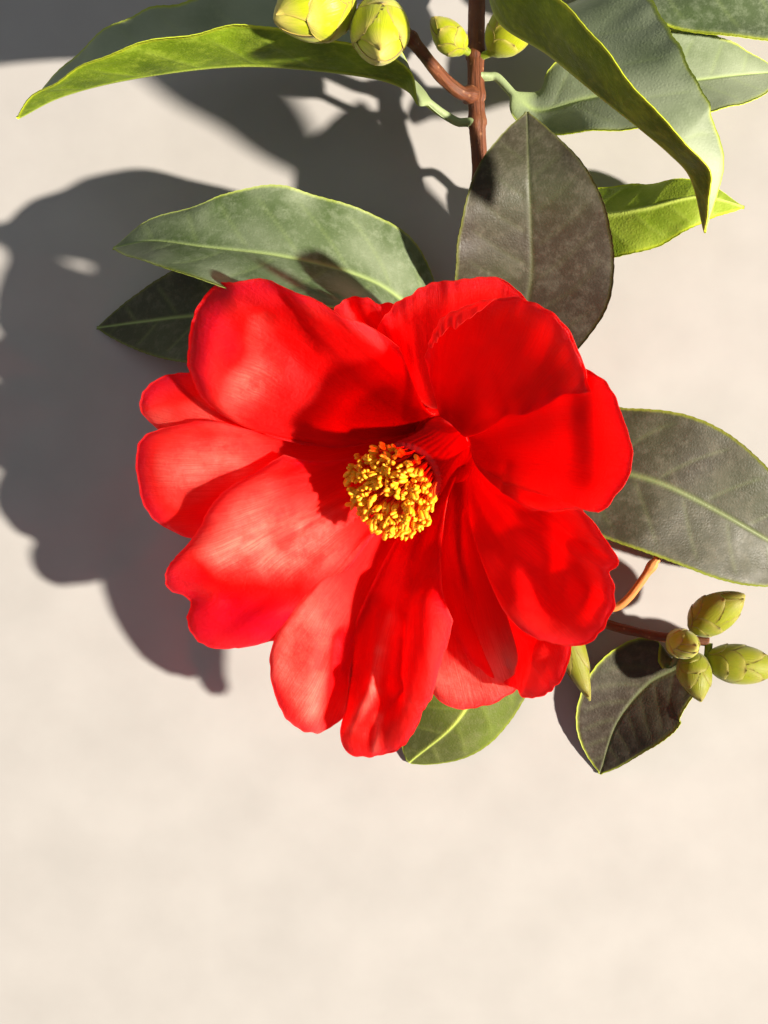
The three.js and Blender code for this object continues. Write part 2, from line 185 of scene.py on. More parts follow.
def closed_rings(n, sides):
    """Faces of n rings of points, closed by one point at the foot and one at the top, which come last."""
    i = np.arange(n * sides).reshape(n, sides)
    j = np.roll(i, -1, axis=1)
    faces = np.stack([i[:-1], j[:-1], j[1:], i[1:]], -1).reshape(-1, 4).tolist()
    foot, top = n * sides, n * sides + 1
    faces += [[foot, int(b), int(a)] for a, b in zip(i[0], j[0])]
    faces += [[top, int(a), int(b)] for a, b in zip(i[-1], j[-1])]
    return faces


def shell(surface, rows, columns, thickness):
    """Points and faces of a closed thin body about a sheet, with the share of each point both ways."""
    s, q = np.meshgrid(rows, columns, indexing="ij")
    P = surface(s, q)
    normal = unit(np.cross(np.gradient(P, axis=0), np.gradient(P, axis=1)))
    half = thickness(s, q)[..., None] / 2
    points = np.concatenate([(P + normal * half).reshape(-1, 3), (P - normal * half).reshape(-1, 3)])
    faces = np.concatenate(closed_sheet(*s.shape)).tolist()
    return points, faces, (twice(s), twice(q))


# Materials
def add_node(tree, kind, inputs=None, stops=(), **settings):
    """Adds a node; inputs maps a socket to a value or to an output; stops are a ramp's (place, hex)."""
    node = tree.nodes.new(kind)
    for key, value in settings.items():
        setattr(node, key, value)
    for key, value in (inputs or {}).items():
        if isinstance(value, bpy.types.NodeSocket):
            tree.links.new(value, node.inputs[key])
        else:
            node.inputs[key].default_value = value
    if stops:
        elements = node.color_ramp.elements
        while len(elements) < len(stops):
            elements.new(0.5)
        for element, (place, color) in zip(elements, stops):
            element.position = place
            element.color = hexcolor(color)
    return node


def start_material(name, *carried):
    """A new material with its tree, the Object coordinates and the values that its points carry."""
    mat = bpy.data.materials.new(name)
    mat.use_nodes = True
    tree = mat.node_tree
    tree.nodes.clear()
    place = add_node(tree, "ShaderNodeTexCoord").outputs["Object"]
    held = [add_node(tree, "ShaderNodeAttribute", attribute_name=key).outputs["Fac"] for key in carried]
    return mat, tree, place, held


def painted(tree, base, *coats):
    """Coats of colour over a base; each is (mask, mask from, mask to, cover from, cover to, colour)."""
    for mask, low, high, thin, thick, color in coats:
        cover = add_node(tree, "ShaderNodeMapRange", {0: mask, 1: low, 2: high, 3: thin, 4: thick})
        coat = hexcolor(color) if isinstance(color, str) else color
        mix = add_node(tree, "ShaderNodeMix", {0: cover.outputs[0], 6: base, 7: coat}, data_type="RGBA")
        base = mix.outputs[2]
    return base


def surfaced(tree, color, worn, height, strength, depth, more=None):
    """A surface: worn is (mask, from, to, roughness from, to); height is relief of that depth in metres."""
    rough = add_node(tree, "ShaderNodeMapRange", dict(enumerate(worn)))
    bump = add_node(tree, "ShaderNodeBump", {"Height": height, "Strength": strength, "Distance": depth})
    inputs = {"Base Color": color, "Roughness": rough.outputs[0], "Normal": bump.outputs["Normal"]}
    return add_node(tree, "ShaderNodeBsdfPrincipled", {**inputs, **(more or {})}).outputs["BSDF"]


def petal_material(name, deep, full, pale):
    """Thin velvety petal flesh with fine veins that run and fork towards the rim; over it lie a painted
    sheen, painted shade and a painted bright edge.
    """
    mat, tree, place, held = start_material(name, "length", "rim", "sheen_paint", "crimson_shade_paint", "deep", "thin")
    length, rim, sheen_paint, crimson_shade_paint, shade_paint, thin = held
    uv = add_node(tree, "ShaderNodeUVMap", uv_map="Grain").outputs["UV"]
    wander = add_node(tree, "ShaderNodeTexNoise", {"Vector": place, "Scale": 90.0, "Detail": 3.0})
    bent = add_node(tree, "ShaderNodeMix", {0: 0.04, 4: uv, 5: wander.outputs["Color"]}, data_type="VECTOR")
    long = add_node(tree, "ShaderNodeMapping", {"Vector": bent.outputs[1], "Scale": (190.0, 7.0, 1.0)})
    veins = add_node(tree, "ShaderNodeTexNoise", {
        "Vector": long.outputs["Vector"], "Scale": 1.0, "Detail": 5.0, "Roughness": 0.6}).outputs["Fac"]
    patches = add_node(tree, "ShaderNodeTexNoise", {
        "Vector": place, "Scale": 95.0, "Detail": 7.0, "Roughness": 0.68}).outputs["Fac"]
    crepe = add_node(tree, "ShaderNodeTexNoise", {
        "Vector": place, "Scale": 420.0, "Detail": 3.0, "Distortion": 0.8}).outputs["Fac"]
    cells = add_node(tree, "ShaderNodeTexNoise", {
        "Vector": place, "Scale": 1500.0, "Detail": 2.0}).outputs["Fac"]
    base = add_node(tree, "ShaderNodeValToRGB", {"Fac": length}, (
        (0.05, deep), (0.45, full), (0.85, full), (1.0, pale))).outputs["Color"]
    # A painted salmon sheen, mottled by the patches and veins.
    sheen_cover = sheen_paint
    for mask, low, high, least, most in ((patches, 0.38, 0.6, 0.35, 1.1), (veins, 0.4, 0.62, 1.02, 0.82)):
        share = add_node(tree, "ShaderNodeMapRange", {0: mask, 1: low, 2: high, 3: least, 4: most})
        product = add_node(tree, "ShaderNodeMath", {0: sheen_cover, 1: share.outputs[0]}, operation="MULTIPLY")
        sheen_cover = product.outputs[0]
    color = painted(
        tree, base,
        # painted salmon sheen
        (sheen_cover, 0, 1, 0, 1, "#ff7466"),
        (veins, 0.4, 0.75, 0, 0.36, "#c80006"),
        # painted sheen blotches
        (patches, 0.52, 0.8, 0, 0.2, pale),
        # painted crimson shade and sky reflection at rolled rims
        (crimson_shade_paint, 0, 1, 0, 0.75, "#cf001e"),
        # painted dark red shade
        (shade_paint, 0, 1, 0, 0.85, "#800000"),
        # painted bright edge at the rim
        (rim, 0, 1, 0.5, 0, pale))
    grain = add_node(tree, "ShaderNodeMath", {0: veins, 1: cells}, operation="ADD")
    relief = add_node(
        tree, "ShaderNodeMath", {0: crepe, 1: 1.6, 2: grain.outputs[0]}, operation="MULTIPLY_ADD")
    flesh = surfaced(tree, color, (patches, 0.3, 0.7, 0.5, 0.66), relief.outputs[0], 0.5, 0.0002, {
        "IOR": 1.4, "Specular IOR Level": 0.1,
        "Subsurface Weight": 0.9, "Subsurface Radius": (1.0, 0.06, 0.04), "Subsurface Scale": 0.002,
        "Sheen Weight": 0.04, "Sheen Roughness": 0.4, "Sheen Tint": hexcolor("#ff9080")})
    # A petal's shade is red, because part of the light falls through its flesh; a thin one lets more through.
    ray = add_node(tree, "ShaderNodeLightPath")
    far = ray.outputs["Ray Length"]
    strewn = painted(tree, hexcolor("#e02a18"), (far, 0.05, 0.08, 0, 1, "#4a0804"))
    shade = painted(tree, hexcolor("#cc2012"), (far, 0, 0.065, 0, 1, "#4a0804"), (thin, 0, 1, 0, 1, strewn))
    clear = add_node(tree, "ShaderNodeBsdfTransparent", {"Color": shade})
    seen = add_node(tree, "ShaderNodeMixShader", {
        0: ray.outputs["Is Shadow Ray"], 1: flesh, 2: clear.outputs[0]})
    add_node(tree, "ShaderNodeOutputMaterial", {"Surface": seen.outputs[0]})
    return mat


# satiny scarlet petal flesh
PETAL_FLESH = petal_material("petal_flesh", "#ee0202", "#fa0403", "#ff2a22")


# Bloom
def axis_of(tilt, heading):
    """The direction that leans from straight up by tilt, towards heading."""
    t, h = math.radians(tilt), math.radians(heading)
    return np.array([math.sin(t) * math.cos(h), math.sin(t) * math.sin(h), math.cos(t)])


AXIS = axis_of(BLOOM_TILT, BLOOM_HEADING)


def cross_part(v):
    """The part of a vector that is square to the bloom's axis."""
    return v - (v @ AXIS)[..., None] * AXIS


# Petals: stations of the rim on the sheet with their heights, as the CAD model has them apart from one
# notch, then what the fine surface adds. Marks fold the petal; the other strokes paint light and shade.
# All are strokes between two places on the sheet, with a width and a strength: folds, a painted salmon
# sheen (below 0, a painted crimson shade) and a painted dark red shade. Between two shares of the rim's
# length, pleats ripple it, a curl rolls it back and a flap turns it right over.
PETALS = {
    "upper_right": dict(
        thin=1.0, layer=4, lean=35, flap=(0.5, 0.93, 4.6), pleats=(0.3, 0.8, 0.08),
        rim=((41.2, 24, 73), (40, 30, 76), (35.6, 38, 79), (27.2, 42.2, 76), (18.8, 41.8, 68),
             (11.6, 37.4, 59), (8, 30, 48)),
        marks=((20, 30, 24, 20, 3, -0.8), (34, 34, 30, 20, 4, 0.8)),
        shade_strokes=((14, 36, 17, 22, 5, 0.6), (23, 36, 28, 24, 7, 0.45), (30, 32, 36, 28, 3, 0.2),
                (10, 22, 14, 18, 4, 0.6)),
    ),
    "top": dict(
        layer=2, lean=30, pleats=(0.05, 0.7, 0.06),
        rim=((30, 38, 56), (23.6, 46.2, 58), (18.8, 47, 58), (13.2, 46, 57), (7.2, 44.2, 54),
             (2.6, 41.6, 50), (-2, 35, 45)),
        marks=((12, 40, 14, 28, 4, 0.9),),
        shade_strokes=((8, 38, 11, 22, 5, 0.5), (18, 42, 16, 34, 3, 0.65)),
    ),
    "top_small": dict(
        layer=1, lean=20,
        rim=((5, 36, 46), (1.2, 40.8, 48), (-1.8, 40.8, 48), (-6.4, 42.8, 48), (-9.2, 41.2, 48),
             (-13, 36, 44)),
        marks=((-4, 40, 2, 30, 2.2, -1.2), (-7, 38, -4, 30, 2, 0.8)),
    ),
    "right": dict(
        thin=1.0, layer=3, lean=35,
        rim=((29, 0, 60), (40.2, 0.6, 78), (43.8, 0.2, 83), (46.2, 4, 85), (49, 12.4, 83),
             (48.4, 18.4, 81), (44.4, 24.8, 78), (35, 31, 70)),
        marks=((41.2, 21.4, 40.8, 6.4, 2.6, -1.1), (24.8, 9.4, 24.2, 4.4, 0.9, 0.6),
               (37.2, 22.4, 38.2, 12.4, 2.5, 0.6)),
        shade_strokes=((18, 12, 36, 19, 5, 0.75), (14, 8, 24, 6, 5, 0.8), (41.2, 21, 40.8, 8, 2.4, 0.55),
                (11, 20, 12, 16, 3, 0.5)),
    ),
    "right_low": dict(
        layer=2.5, lean=25,
        rim=((22, -13, 46), (26.2, -22.4, 53), (32.2, -25.8, 57), (40.2, -26.2, 60),
             (43.6, -23.2, 62), (45.8, -19.6, 63), (45.4, -15.2, 64), (44.7, -12, 65),
             (47, -10, 66), (43.6, -5.4, 67), (40, -1, 67), (36, 4, 66)),
        marks=((39.8, -17, 39.6, -17.4, 3.2, -2.0), (32.2, -1.6, 32.4, -21.6, 2.8, -0.7),
               (26.2, -3.6, 27.2, -17.6, 2.5, 0.8), (38, -6, 36, -12, 2.4, 0.6)),
        shade_strokes=((39.8, -17, 39.6, -17.4, 2.6, 0.45), (28, 0, 40, -1.5, 1.6, 0.4),
                (17, 2, 22, -6, 3, 0.4)),
    ),
    "low_right": dict(
        rise=0.2, layer=2, lean=25,
        rim=((10, -20, 32), (18.8, -31, 33), (25.6, -35.2, 34), (29.4, -37, 39), (34.2, -35, 49),
             (37.2, -28.6, 52), (36, -17, 52)),
        marks=((31.2, -27.6, 28.2, -36.6, 1.6, 1.3), (20, -18, 24, -30, 3, -1.0)),
        shade_strokes=((14, -14, 22, -30, 3.5, 0.45), (26, -33, 28, -26, 2, 0.3)),
    ),
    "low_right_small": dict(
        rise=0.22, layer=1, lean=5,
        rim=((2, -26, 27), (8.8, -36, 29), (14.2, -39.2, 29), (20.2, -38.6, 30), (24.6, -37, 32),
             (26.4, -35.6, 34), (29.4, -30, 38), (31, -20, 40)),
        marks=((14, -28, 14, -38, 4, 0.7),),
        light_strokes=((10, -34, 24, -34, 7, 0.85),),
    ),
    "low": dict(
        rise=0.24, layer=3, lean=0,
        rim=((-9, -32, 29), (-10, -42, 27), (-7.8, -47.6, 27), (-2.8, -49, 28), (3.6, -47, 33),
             (7.6, -40.6, 38), (10.4, -31.6, 40), (14, -22, 41)),
        marks=((9.4, -18, 7.4, -36, 3.0, 3.0), (3.0, -22, 2.2, -36, 1.8, -1.6),
               (2.2, -36, -2.4, -43.6, 1.9, -1.4), (-0.6, -20, -2.2, -34, 1.7, 1.7),
               (-2.2, -34, -6.0, -42.6, 1.4, 1.5), (-7, -24, -9, -40, 3, -2.2),
               (-1.2, -42.6, -1.6, -47.6, 0.8, 0.5)),
        shade_strokes=((-2, -18, -6.5, -36, 2.8, 0.8), (3, -26, 0.8, -44, 1.6, 0.7),
                (11, -2, 9, -15, 4, 0.7), (5.5, -6, 5.2, -22, 2.4, 0.5),
                (-5, -41, -3.5, -46, 1.8, 0.6)),
        light_strokes=((1.2, -20.6, -0.6, -27.6, 0.9, 0.5), (-0.6, -27.6, -1.6, -35.6, 0.9, 0.6),
               (-1.6, -35.6, -6.4, -42.6, 0.9, 0.6), (-1.4, -41, -1.6, -47.5, 0.7, 0.6)),
    ),
    "low_left": dict(
        rise=0.2, layer=2, lean=12,
        rim=((-18, -17, 33), (-22.8, -26.6, 34), (-23, -31.6, 33), (-21.6, -38, 31),
             (-17.4, -43.4, 28), (-11.8, -44.4, 26), (-7, -40, 26), (-2, -31, 27)),
        marks=((-14, -24, -16, -38, 3, 1.0), (-9, -26, -12, -42, 2.4, -1.0)),
        light_strokes=((-18, -20, -15, -40, 8, 0.8), (-8, -26, -11, -42, 2.5, -0.7),
               (-22, -36, -16, -43, 2, -0.6)),
    ),
    "left_low": dict(
        rise=0.24, layer=3, lean=6,
        rim=((-8, -14, 33), (-21.8, -25.6, 33), (-29.8, -27.4, 33), (-35.8, -26.2, 32),
             (-39.4, -22, 33), (-39.6, -18.4, 34), (-44, -16, 34), (-43.8, -12, 36.5),
             (-38.8, -5.6, 40.5), (-32.4, 3.6, 41), (-20, 11.5, 38.5)),
        marks=((-38.8, -17.2, -30.8, -18.2, 1.8, -0.8), (-30.8, -18.2, -18.8, -16.6, 2.4, -0.8),
               (-18.8, -16.6, -6.8, -13.6, 2.6, -0.6), (-32.8, -12.6, -10.8, -6.6, 5, 0.7),
               (-36.8, -25.6, -16.8, -21.6, 4, 0.5), (-37.4, -9.0, -31.0, -1.0, 5, 0.3),
               (-31.0, -1.0, -19.4, 8.8, 5, 0.4)),
        light_strokes=((-26, -4, -13, -6, 5.5, 1.1), (-33, -9, -19, -9, 3.5, 0.6),
               (-38, -10, -24, 4, 3, 0.3), (-37, -21, -20, -23, 4.2, -1.2),
               (-41, -14, -39, -12, 4, -0.7)),
    ),
    "left": dict(
        rise=0.22, layer=2, lean=10,
        rim=((-30, -7, 31), (-39.8, -5.6, 33), (-44.2, -3.2, 34), (-48, 1.8, 35), (-50, 9.4, 36),
             (-48.4, 15, 37), (-42.8, 17.6, 37), (-32, 18, 36)),
        marks=((-39.8, 4.4, -39.6, 4.0, 2.6, -0.5), (-44, 10, -30, 12, 4, 0.4)),
        light_strokes=((-43, 7, -32, 11, 6, 0.8), (-49, 12, -46, 0, 3.5, -0.7), (-40, -4, -26, 4, 3, -0.5)),
    ),
    "left_small": dict(
        rise=0.24, layer=1, lean=12,
        rim=((-38, 12, 31), (-46.4, 17, 33), (-49.2, 20.4, 34), (-48.6, 23.8, 35),
             (-44.4, 27.2, 36), (-38.4, 28, 36), (-28, 27, 36)),
        marks=((-44, 22, -32, 20, 2.6, -0.8),),
        light_strokes=((-46, 18, -36, 20, 3, 0.4), (-48, 24, -40, 27, 3, -0.6)),
    ),
    "upper_left": dict(
        rise=0.26, layer=3.5, lean=24, curl=(0.12, 0.56, 3.2),
        rim=((-17, 13.5, 37), (-32.8, 18.4, 40), (-38.2, 24.8, 42), (-39.2, 33.4, 44),
             (-36.2, 42, 45), (-30.4, 45.8, 48), (-19.8, 44.2, 52), (-7.8, 38.8, 52), (3, 33, 48)),
        marks=((-27.8, 42.8, -24.4, 38.4, 1.8, -0.55), (-24.4, 38.4, -17.0, 30.0, 2.2, -0.5),
               (-28.8, 40.8, -19.8, 30.0, 2.4, 0.45), (-20.2, 42.4, -14.8, 33.4, 1.8, -0.5),
               (-33.8, 32.4, -18.8, 27.4, 5, 0.7), (-30.8, 22.4, -16.8, 25.4, 2.8, -0.5)),
        light_strokes=((-24, 38, -27, 34, 3, 0.2), (-25, 28, -27, 25, 3.2, 0.6),
               (-29, 26, -31, 20, 2.6, 0.3), (-38, 24, -36, 40, 2.8, -0.9),
               (-34, 42, -31, 33, 3, -0.5), (-30, 44, -18, 43, 2.5, -0.6)),
        shade_strokes=((-20, 41, -16, 34, 1.8, 0.5), (-8, 38, -18, 30, 3, 0.2), (0, 22, 7, 20, 4.5, 0.7),
                (6, 28, -7, 17, 4.2, 0.55), (-7, 20, -6, 21, 2.6, 0.35), (-4, 14, 6, 15, 4, 0.3)),
    ),
}


def strokes(u, v, marks):
    """The sum of soft strokes on the sheet, each from one place to another with a width and a height."""
    total = np.zeros_like(u)
    for u0, v0, u1, v1, width, height in marks:
        du, dv = u1 - u0, v1 - v0
        k = np.clip(((u - u0) * du + (v - v0) * dv) / max(du**2 + dv**2, 1e-6), 0, 1)
        total += height * np.exp(-((u - u0 - k * du) ** 2 + (v - v0 - k * dv) ** 2) / width**2)
    return total


def petal_surface(p, seed):
    """A petal's sheet as a function of s, from claw to rim and past 1 on a flap, and q, along the rim."""
    stations = sheets(p["rim"])
    edge = through(stations)
    middle = unit(cross_part(np.mean(stations, axis=0) - BLOOM_BASE))
    e = math.radians(p["lean"])
    seen = {}

    def surface(s, q):
        past = np.maximum(s - 1, 0)
        s = np.minimum(s, 1)
        tip = edge(q)
        way = unit(unit(cross_part(tip - BLOOM_BASE)) * CLAW_SHARE + middle * (1 - CLAW_SHARE))
        ring = CLAW_RING - CLAW_RING_STEP * p["layer"]
        base = BLOOM_BASE + way * ring + AXIS * CLAW_FOOT_STEP * p["layer"]
        gap = tip - base
        length = np.linalg.norm(gap, axis=-1)[..., None]
        out = unit(cross_part(gap))
        a = base + unit(AXIS + 0.2 * out) * length * p.get("rise", 0.34)
        b = tip - (math.cos(e) * out + math.sin(e) * AXIS) * length * 0.36
        S = s[..., None]
        P = (1 - S) ** 3 * base + 3 * (1 - S) ** 2 * S * a + 3 * (1 - S) * S**2 * b + S**3 * tip
        inner = int((past[:, 0] == 0).sum())
        ahead = np.gradient(P[:inner], axis=0)
        normal = unit(np.cross(ahead, np.gradient(P[:inner], axis=1)))
        normal = normal * np.where((normal @ AXIS).mean() < 0, -1, 1)
        # Rows past the rim go on as its last row does.
        ahead, normal = (
            np.concatenate([v, np.repeat(v[-1:], len(s) - inner, axis=0)]) for v in (unit(ahead), normal))
        x = (q - 0.5) * edge.length * np.maximum(s, 0.05) ** 0.7
        y = s * length[..., 0]
        look = (EYE_HEIGHT - SHEET_HEIGHT) / (EYE_HEIGHT - P[..., 2])
        u, v = P[..., 0] * look, P[..., 1] * look
        lift = strokes(u, v, p["marks"])
        if "pleats" in p:
            q0, q1, height = p["pleats"]
            lift += (height * waves(x, y * 0.2, seed + 70, 2.7) * step(0.72, 0.95, s)
                     * step(q0 - 0.05, q0 + 0.05, q) * step(q1 + 0.05, q1 - 0.05, q))
        # Salmon sheen strokes, and below 0 crimson shade: painted light.
        seen["tint"] = strokes(u, v, p.get("light_strokes", ()))
        # Dark red strokes of painted shade.
        seen["shade"] = strokes(u, v, p.get("shade_strokes", ()))
        lift += 0.3 * step(0.45, 1.0, s) * waves(x, y * 0.5, seed, 14)
        lift += 0.05 * step(0.4, 0.9, s) * waves(x, y * 0.15, seed + 50, 4.2)
        lift += 0.6 * step(0.75, 1.0, s) * waves(x, y * 0.2, seed + 90, 15)
        side = np.minimum(q, 1 - q) * edge.length * np.maximum(s, 0.1)
        to_rim = np.minimum((1 - s) * length[..., 0], side)
        roll = 0.5 * np.clip(1 - to_rim / 2.2, 0, 1) ** 2
        if "curl" in p:
            q0, q1, depth = p["curl"]
            within = step(q0 - 0.06, q0 + 0.06, q) * (1 - step(q1 - 0.06, q1 + 0.06, q))
            roll = roll + depth * within * np.clip(1 - to_rim / 4.6, 0, 1) ** 1.7
        lift -= roll * step(0.25, 0.5, s)
        seen["rim"] = to_rim
        fray = 0.18 * waves(q * edge.length, 0 * q, seed + 5, 2.6) * step(0.88, 1.0, s)
        P = P + normal * lift[..., None] + ahead * fray[..., None]
        if "flap" in p:
            q0, q1, reach = p["flap"]
            arch = np.sqrt(np.clip(np.sin(np.clip((q - q0) / (q1 - q0), 0, 1) * math.pi), 0, 1))
            run = past * (0.15 + reach * arch * (1 + 0.12 * waves(x, 0 * x, seed + 3, 7)))
            turn = np.minimum(run / FLAP_RADIUS, FLAP_TURN)
            flat = np.maximum(run - FLAP_RADIUS * FLAP_TURN, 0)
            onward = FLAP_RADIUS * np.sin(turn) + flat * math.cos(FLAP_TURN)
            raised = FLAP_RADIUS * (1 - np.cos(turn)) + flat * math.sin(FLAP_TURN)
            fold = ahead * onward[..., None] + normal * raised[..., None]
            crumple = 0.3 * waves(x, run * 0.3, seed + 21, 3.0) * np.minimum(run / 3, 1)
            P = P + fold + normal * crumple[..., None]
        return P

    return surface, seen


def petal_thickness(s, q):
    """Petal flesh is 0.42 mm thick at the claw and 0.16 mm at the rim."""
    return 0.42 - 0.26 * np.minimum(s, 1)


def build_petals():
    """One thin body for each petal, all in place of the CAD model's corolla."""
    rows = 0.03 + 0.97 * np.linspace(0, 1, 72) ** 0.9
    columns = np.linspace(0, 1, 96)
    made = []
    for number, (name, p) in enumerate(PETALS.items()):
        surface, seen = petal_surface(p, 10 + number)
        reach = np.concatenate([rows, 1 + np.linspace(0, 1, 19)[1:]]) if "flap" in p else rows
        points, faces, (s, q) = shell(surface, reach, columns, petal_thickness)
        s = np.minimum(s, 1)
        to_rim = twice(seen["rim"])
        tint = twice(seen["tint"])
        # Painted crimson shade and sky reflection where the rim rolls away from the light, and at strokes
        # below 0.
        crimson_shade_paint = np.exp(-((to_rim / 2.6) ** 2)) * step(0.4, 0.8, s) * 0.7 + np.maximum(-tint, 0)
        extras = {
            "length": s,
            # A painted bright edge along the rim.
            "rim": np.clip(to_rim / 0.7, 0, 1),
            "crimson_shade_paint": np.minimum(crimson_shade_paint, 1),
            # Painted salmon sheen where the light glances off the petal.
            "sheen_paint": np.clip(tint, 0, 1),
            # Painted shade: the dark red strokes, and darker claws where the throat lies in shade.
            "deep": np.clip(twice(seen["shade"]) + 0.5 * step(0.4, 0.1, s), 0, 1),
            "thin": np.full_like(s, p.get("thin", 0.0)),
        }
        uv = np.stack([(q - 0.5) * (0.35 + 0.65 * s) + number * 1.7, s], 1)
        piece = make("petal_" + name, points, faces, [PETAL_FLESH], uv, extras)
        made.append(piece)
    for piece in made:
        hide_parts("petals")


build_petals()


# Wood
def tube(line, radius, rows, sides, relief=None):
    """Points, faces and (turn, t) of a closed round limb; rows may start before the line, at t below 0."""
    centre = line(rows)
    ahead = unit(np.gradient(centre, axis=0))
    side = np.zeros_like(centre)
    guess = ODD_WAY
    for i, a in enumerate(ahead):
        guess = unit(guess - (guess @ a) * a)
        side[i] = guess
    other = np.cross(ahead, side)
    turn = np.linspace(0, 1, sides, endpoint=False)
    T, A = np.meshgrid(rows, turn, indexing="ij")
    r = radius(T)
    if relief is not None:
        r = r + relief(T, A)
    c, s = np.cos(A * math.tau)[..., None], np.sin(A * math.tau)[..., None]
    P = centre[:, None] + r[..., None] * (c * side[:, None] + s * other[:, None])
    points = np.concatenate([P.reshape(-1, 3), centre[:1], centre[-1:]])
    where = np.concatenate([np.stack([A.ravel(), T.ravel()], 1), [[0, rows[0]], [0, rows[-1]]]])
    return points, closed_rings(len(rows), sides), where


def bark_material(name, dark, full, grey, strength):
    """Young bark with lengthwise streaks, fine cracks and small pale breathing pores."""
    mat, tree, place, _ = start_material(name)
    uv = add_node(tree, "ShaderNodeUVMap", uv_map="Grain").outputs["UV"]
    long = add_node(tree, "ShaderNodeMapping", {"Vector": uv, "Scale": (1.6, 0.16, 1.0)})
    streaks = add_node(tree, "ShaderNodeTexNoise", {
        "Vector": long.outputs["Vector"], "Scale": 1.0, "Detail": 6.0, "Roughness": 0.65}).outputs["Fac"]
    patches = add_node(tree, "ShaderNodeTexNoise", {
        "Vector": place, "Scale": 130.0, "Detail": 5.0, "Roughness": 0.6}).outputs["Fac"]
    pores = add_node(tree, "ShaderNodeTexVoronoi", {"Vector": place, "Scale": 520.0, "Randomness": 1.0})
    base = add_node(tree, "ShaderNodeValToRGB", {"Fac": streaks}, ((0.3, dark), (0.55, full), (0.8, grey)))
    color = painted(
        tree, base.outputs["Color"],
        (patches, 0.5, 0.72, 0, 0.6, grey),
        (pores.outputs["Distance"], 0.1, 0.2, 0.35, 0, "#c08a5e"))
    relief = add_node(tree, "ShaderNodeMath", {0: streaks, 1: patches}, operation="ADD")
    bark = surfaced(tree, color, (streaks, 0.3, 0.7, 0.5, 0.8), relief.outputs[0], strength, 0.0004)
    add_node(tree, "ShaderNodeOutputMaterial", {"Surface": bark})
    return mat


# red-brown bark of the last year's wood
BARK = bark_material("red_brown_bark", "#442009", "#6b3512", "#784c24", 0.9)
# orange bark of this year's shoot
SHOOT_BARK = bark_material("orange_shoot_bark", "#a35a20", "#c67a34", "#cf9558", 0.4)

# pale sapwood with a darker pith, where the stem was cut
CUT_WOOD, tree, place, _ = start_material("cut_sapwood")
grain = add_node(tree, "ShaderNodeTexNoise", {"Vector": place, "Scale": 2200.0, "Detail": 3.0}).outputs["Fac"]
ring = add_node(tree, "ShaderNodeTexNoise", {"Vector": place, "Scale": 500.0, "Detail": 2.0}).outputs["Fac"]
tone = add_node(tree, "ShaderNodeValToRGB", {"Fac": ring}, (
    (0.3, "#b99a62"), (0.6, "#dcc892"), (0.8, "#c9c98a")))
wood = surfaced(tree, tone.outputs["Color"], (grain, 0.3, 0.7, 0.55, 0.8), grain, 0.6, 0.0002)
add_node(tree, "ShaderNodeOutputMaterial", {"Surface": wood})

WOOD = {}


def seat(name, t, towards, spare=0.0):
    """Where a stalk sits on a limb, square to its bark, as three stations."""
    line, thick, thin = WOOD[name]
    p = line(t)
    a = along(line, t)
    out = np.asarray(towards) - p
    out = unit(out - (out @ a) * a)
    foot = p + out * (thick + (thin - thick) * t + SEAT_GAP + spare)
    return [foot + out * (k * STALK_RISE) for k in (0, 0.5, 1)]


def build_limb(name, stations, thick, thin, on=None, swell=(), skin=BARK):
    """A tapering limb; on is (limb, share, towards); swell lists the shares that carry a leaf scar."""
    start = seat(*on) if on else []
    line = through(list(start) + list(stations))
    WOOD[name] = (line, thick, thin)
    sunk = -(SEAT_GAP + 0.9) / line.length if on else 0.0
    rows = np.linspace(sunk, 1, int(line.length / 0.55) + 8)
    seed = sum(map(ord, name))

    def relief(t, a):
        x, y = a * math.tau * thick, t * line.length
        rough = 0.045 * waves(np.cos(a * math.tau) * 6, y * 0.5 + np.sin(a * math.tau) * 6, seed, 2.6)
        rough += 0.05 * waves(x * 3, y * 0.22, seed + 1, 1.9) * np.sin(a * math.pi) ** 0.5
        for at in swell:
            d = (t - at) * line.length
            rough += 0.42 * np.exp(-(d / 1.5) ** 2) - 0.22 * np.exp(-((d - 1.3) / 0.35) ** 2)
        if on:
            rough += 0.75 * np.exp(-(np.maximum(t * line.length, -0.4) / 0.9) ** 2)
        return rough

    def radius(t):
        return thick + (thin - thick) * np.maximum(t, 0)

    points, faces, where = tube(line, radius, rows, LIMB_SIDES, relief)
    uv = np.stack([where[:, 0] * math.tau * thick, where[:, 1] * line.length], 1)
    kinds = np.zeros(len(faces), np.int32)
    if not on:
        # The faces round the foot's end point show cut wood.
        kinds[-2 * LIMB_SIDES:-LIMB_SIDES] = 1
    piece = make(name + "_bark", points, faces, [skin, CUT_WOOD], uv, face_material=kinds)
    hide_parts(name)


SPUR_TOP = BLOOM_BASE - AXIS * (CALYX_TOP + CALYX_LENGTH + SEAT_GAP)
build_limb(
    "main_stem",
    sheets(((19, 119, 2.2), (18.6, 103, 11), (18.4, 84, 16), (19.4, 66, 13), (21.5, 44, 9), (23, 27, 7.5),
            (24, 14, 7))),
    2.0, 1.5, swell=(0.06, 0.12, 0.31, 0.385, 0.43, 0.53, 0.68, 0.8, 0.9))
build_limb(
    "bloom_stalk", [SPUR_TOP - AXIS * 1.5, SPUR_TOP + AXIS * 0.8], 1.6, 2.2,
    ("main_stem", 0.93, SPUR_TOP))
build_limb(
    "side_twig", sheets(((12.6, 86, 21), (5.6, 94.4, 32), (-0.8, 102, 44), (-4.5, 107, 51))), 1.5, 1.1,
    ("main_stem", 0.385, sheet(12.6, 88, 21)), swell=(0.5, 0.86))
build_limb(
    "lower_twig", sheets(((32, -6, 7), (40, -20, 8), (53, -24.5, 10), (65, -26, 12))), 1.4, 1.0,
    ("main_stem", 0.97, sheet(36, 0, 7)), swell=(0.25, 0.58, 0.9))
build_limb(
    "young_twig", sheets(((45.6, -19.2, 9.5), (55.6, -8.2, 11), (62, -1.5, 10))), 1.0, 0.8,
    ("lower_twig", 0.42, sheet(45.6, -19.2, 9)), swell=(0.7,), skin=SHOOT_BARK)


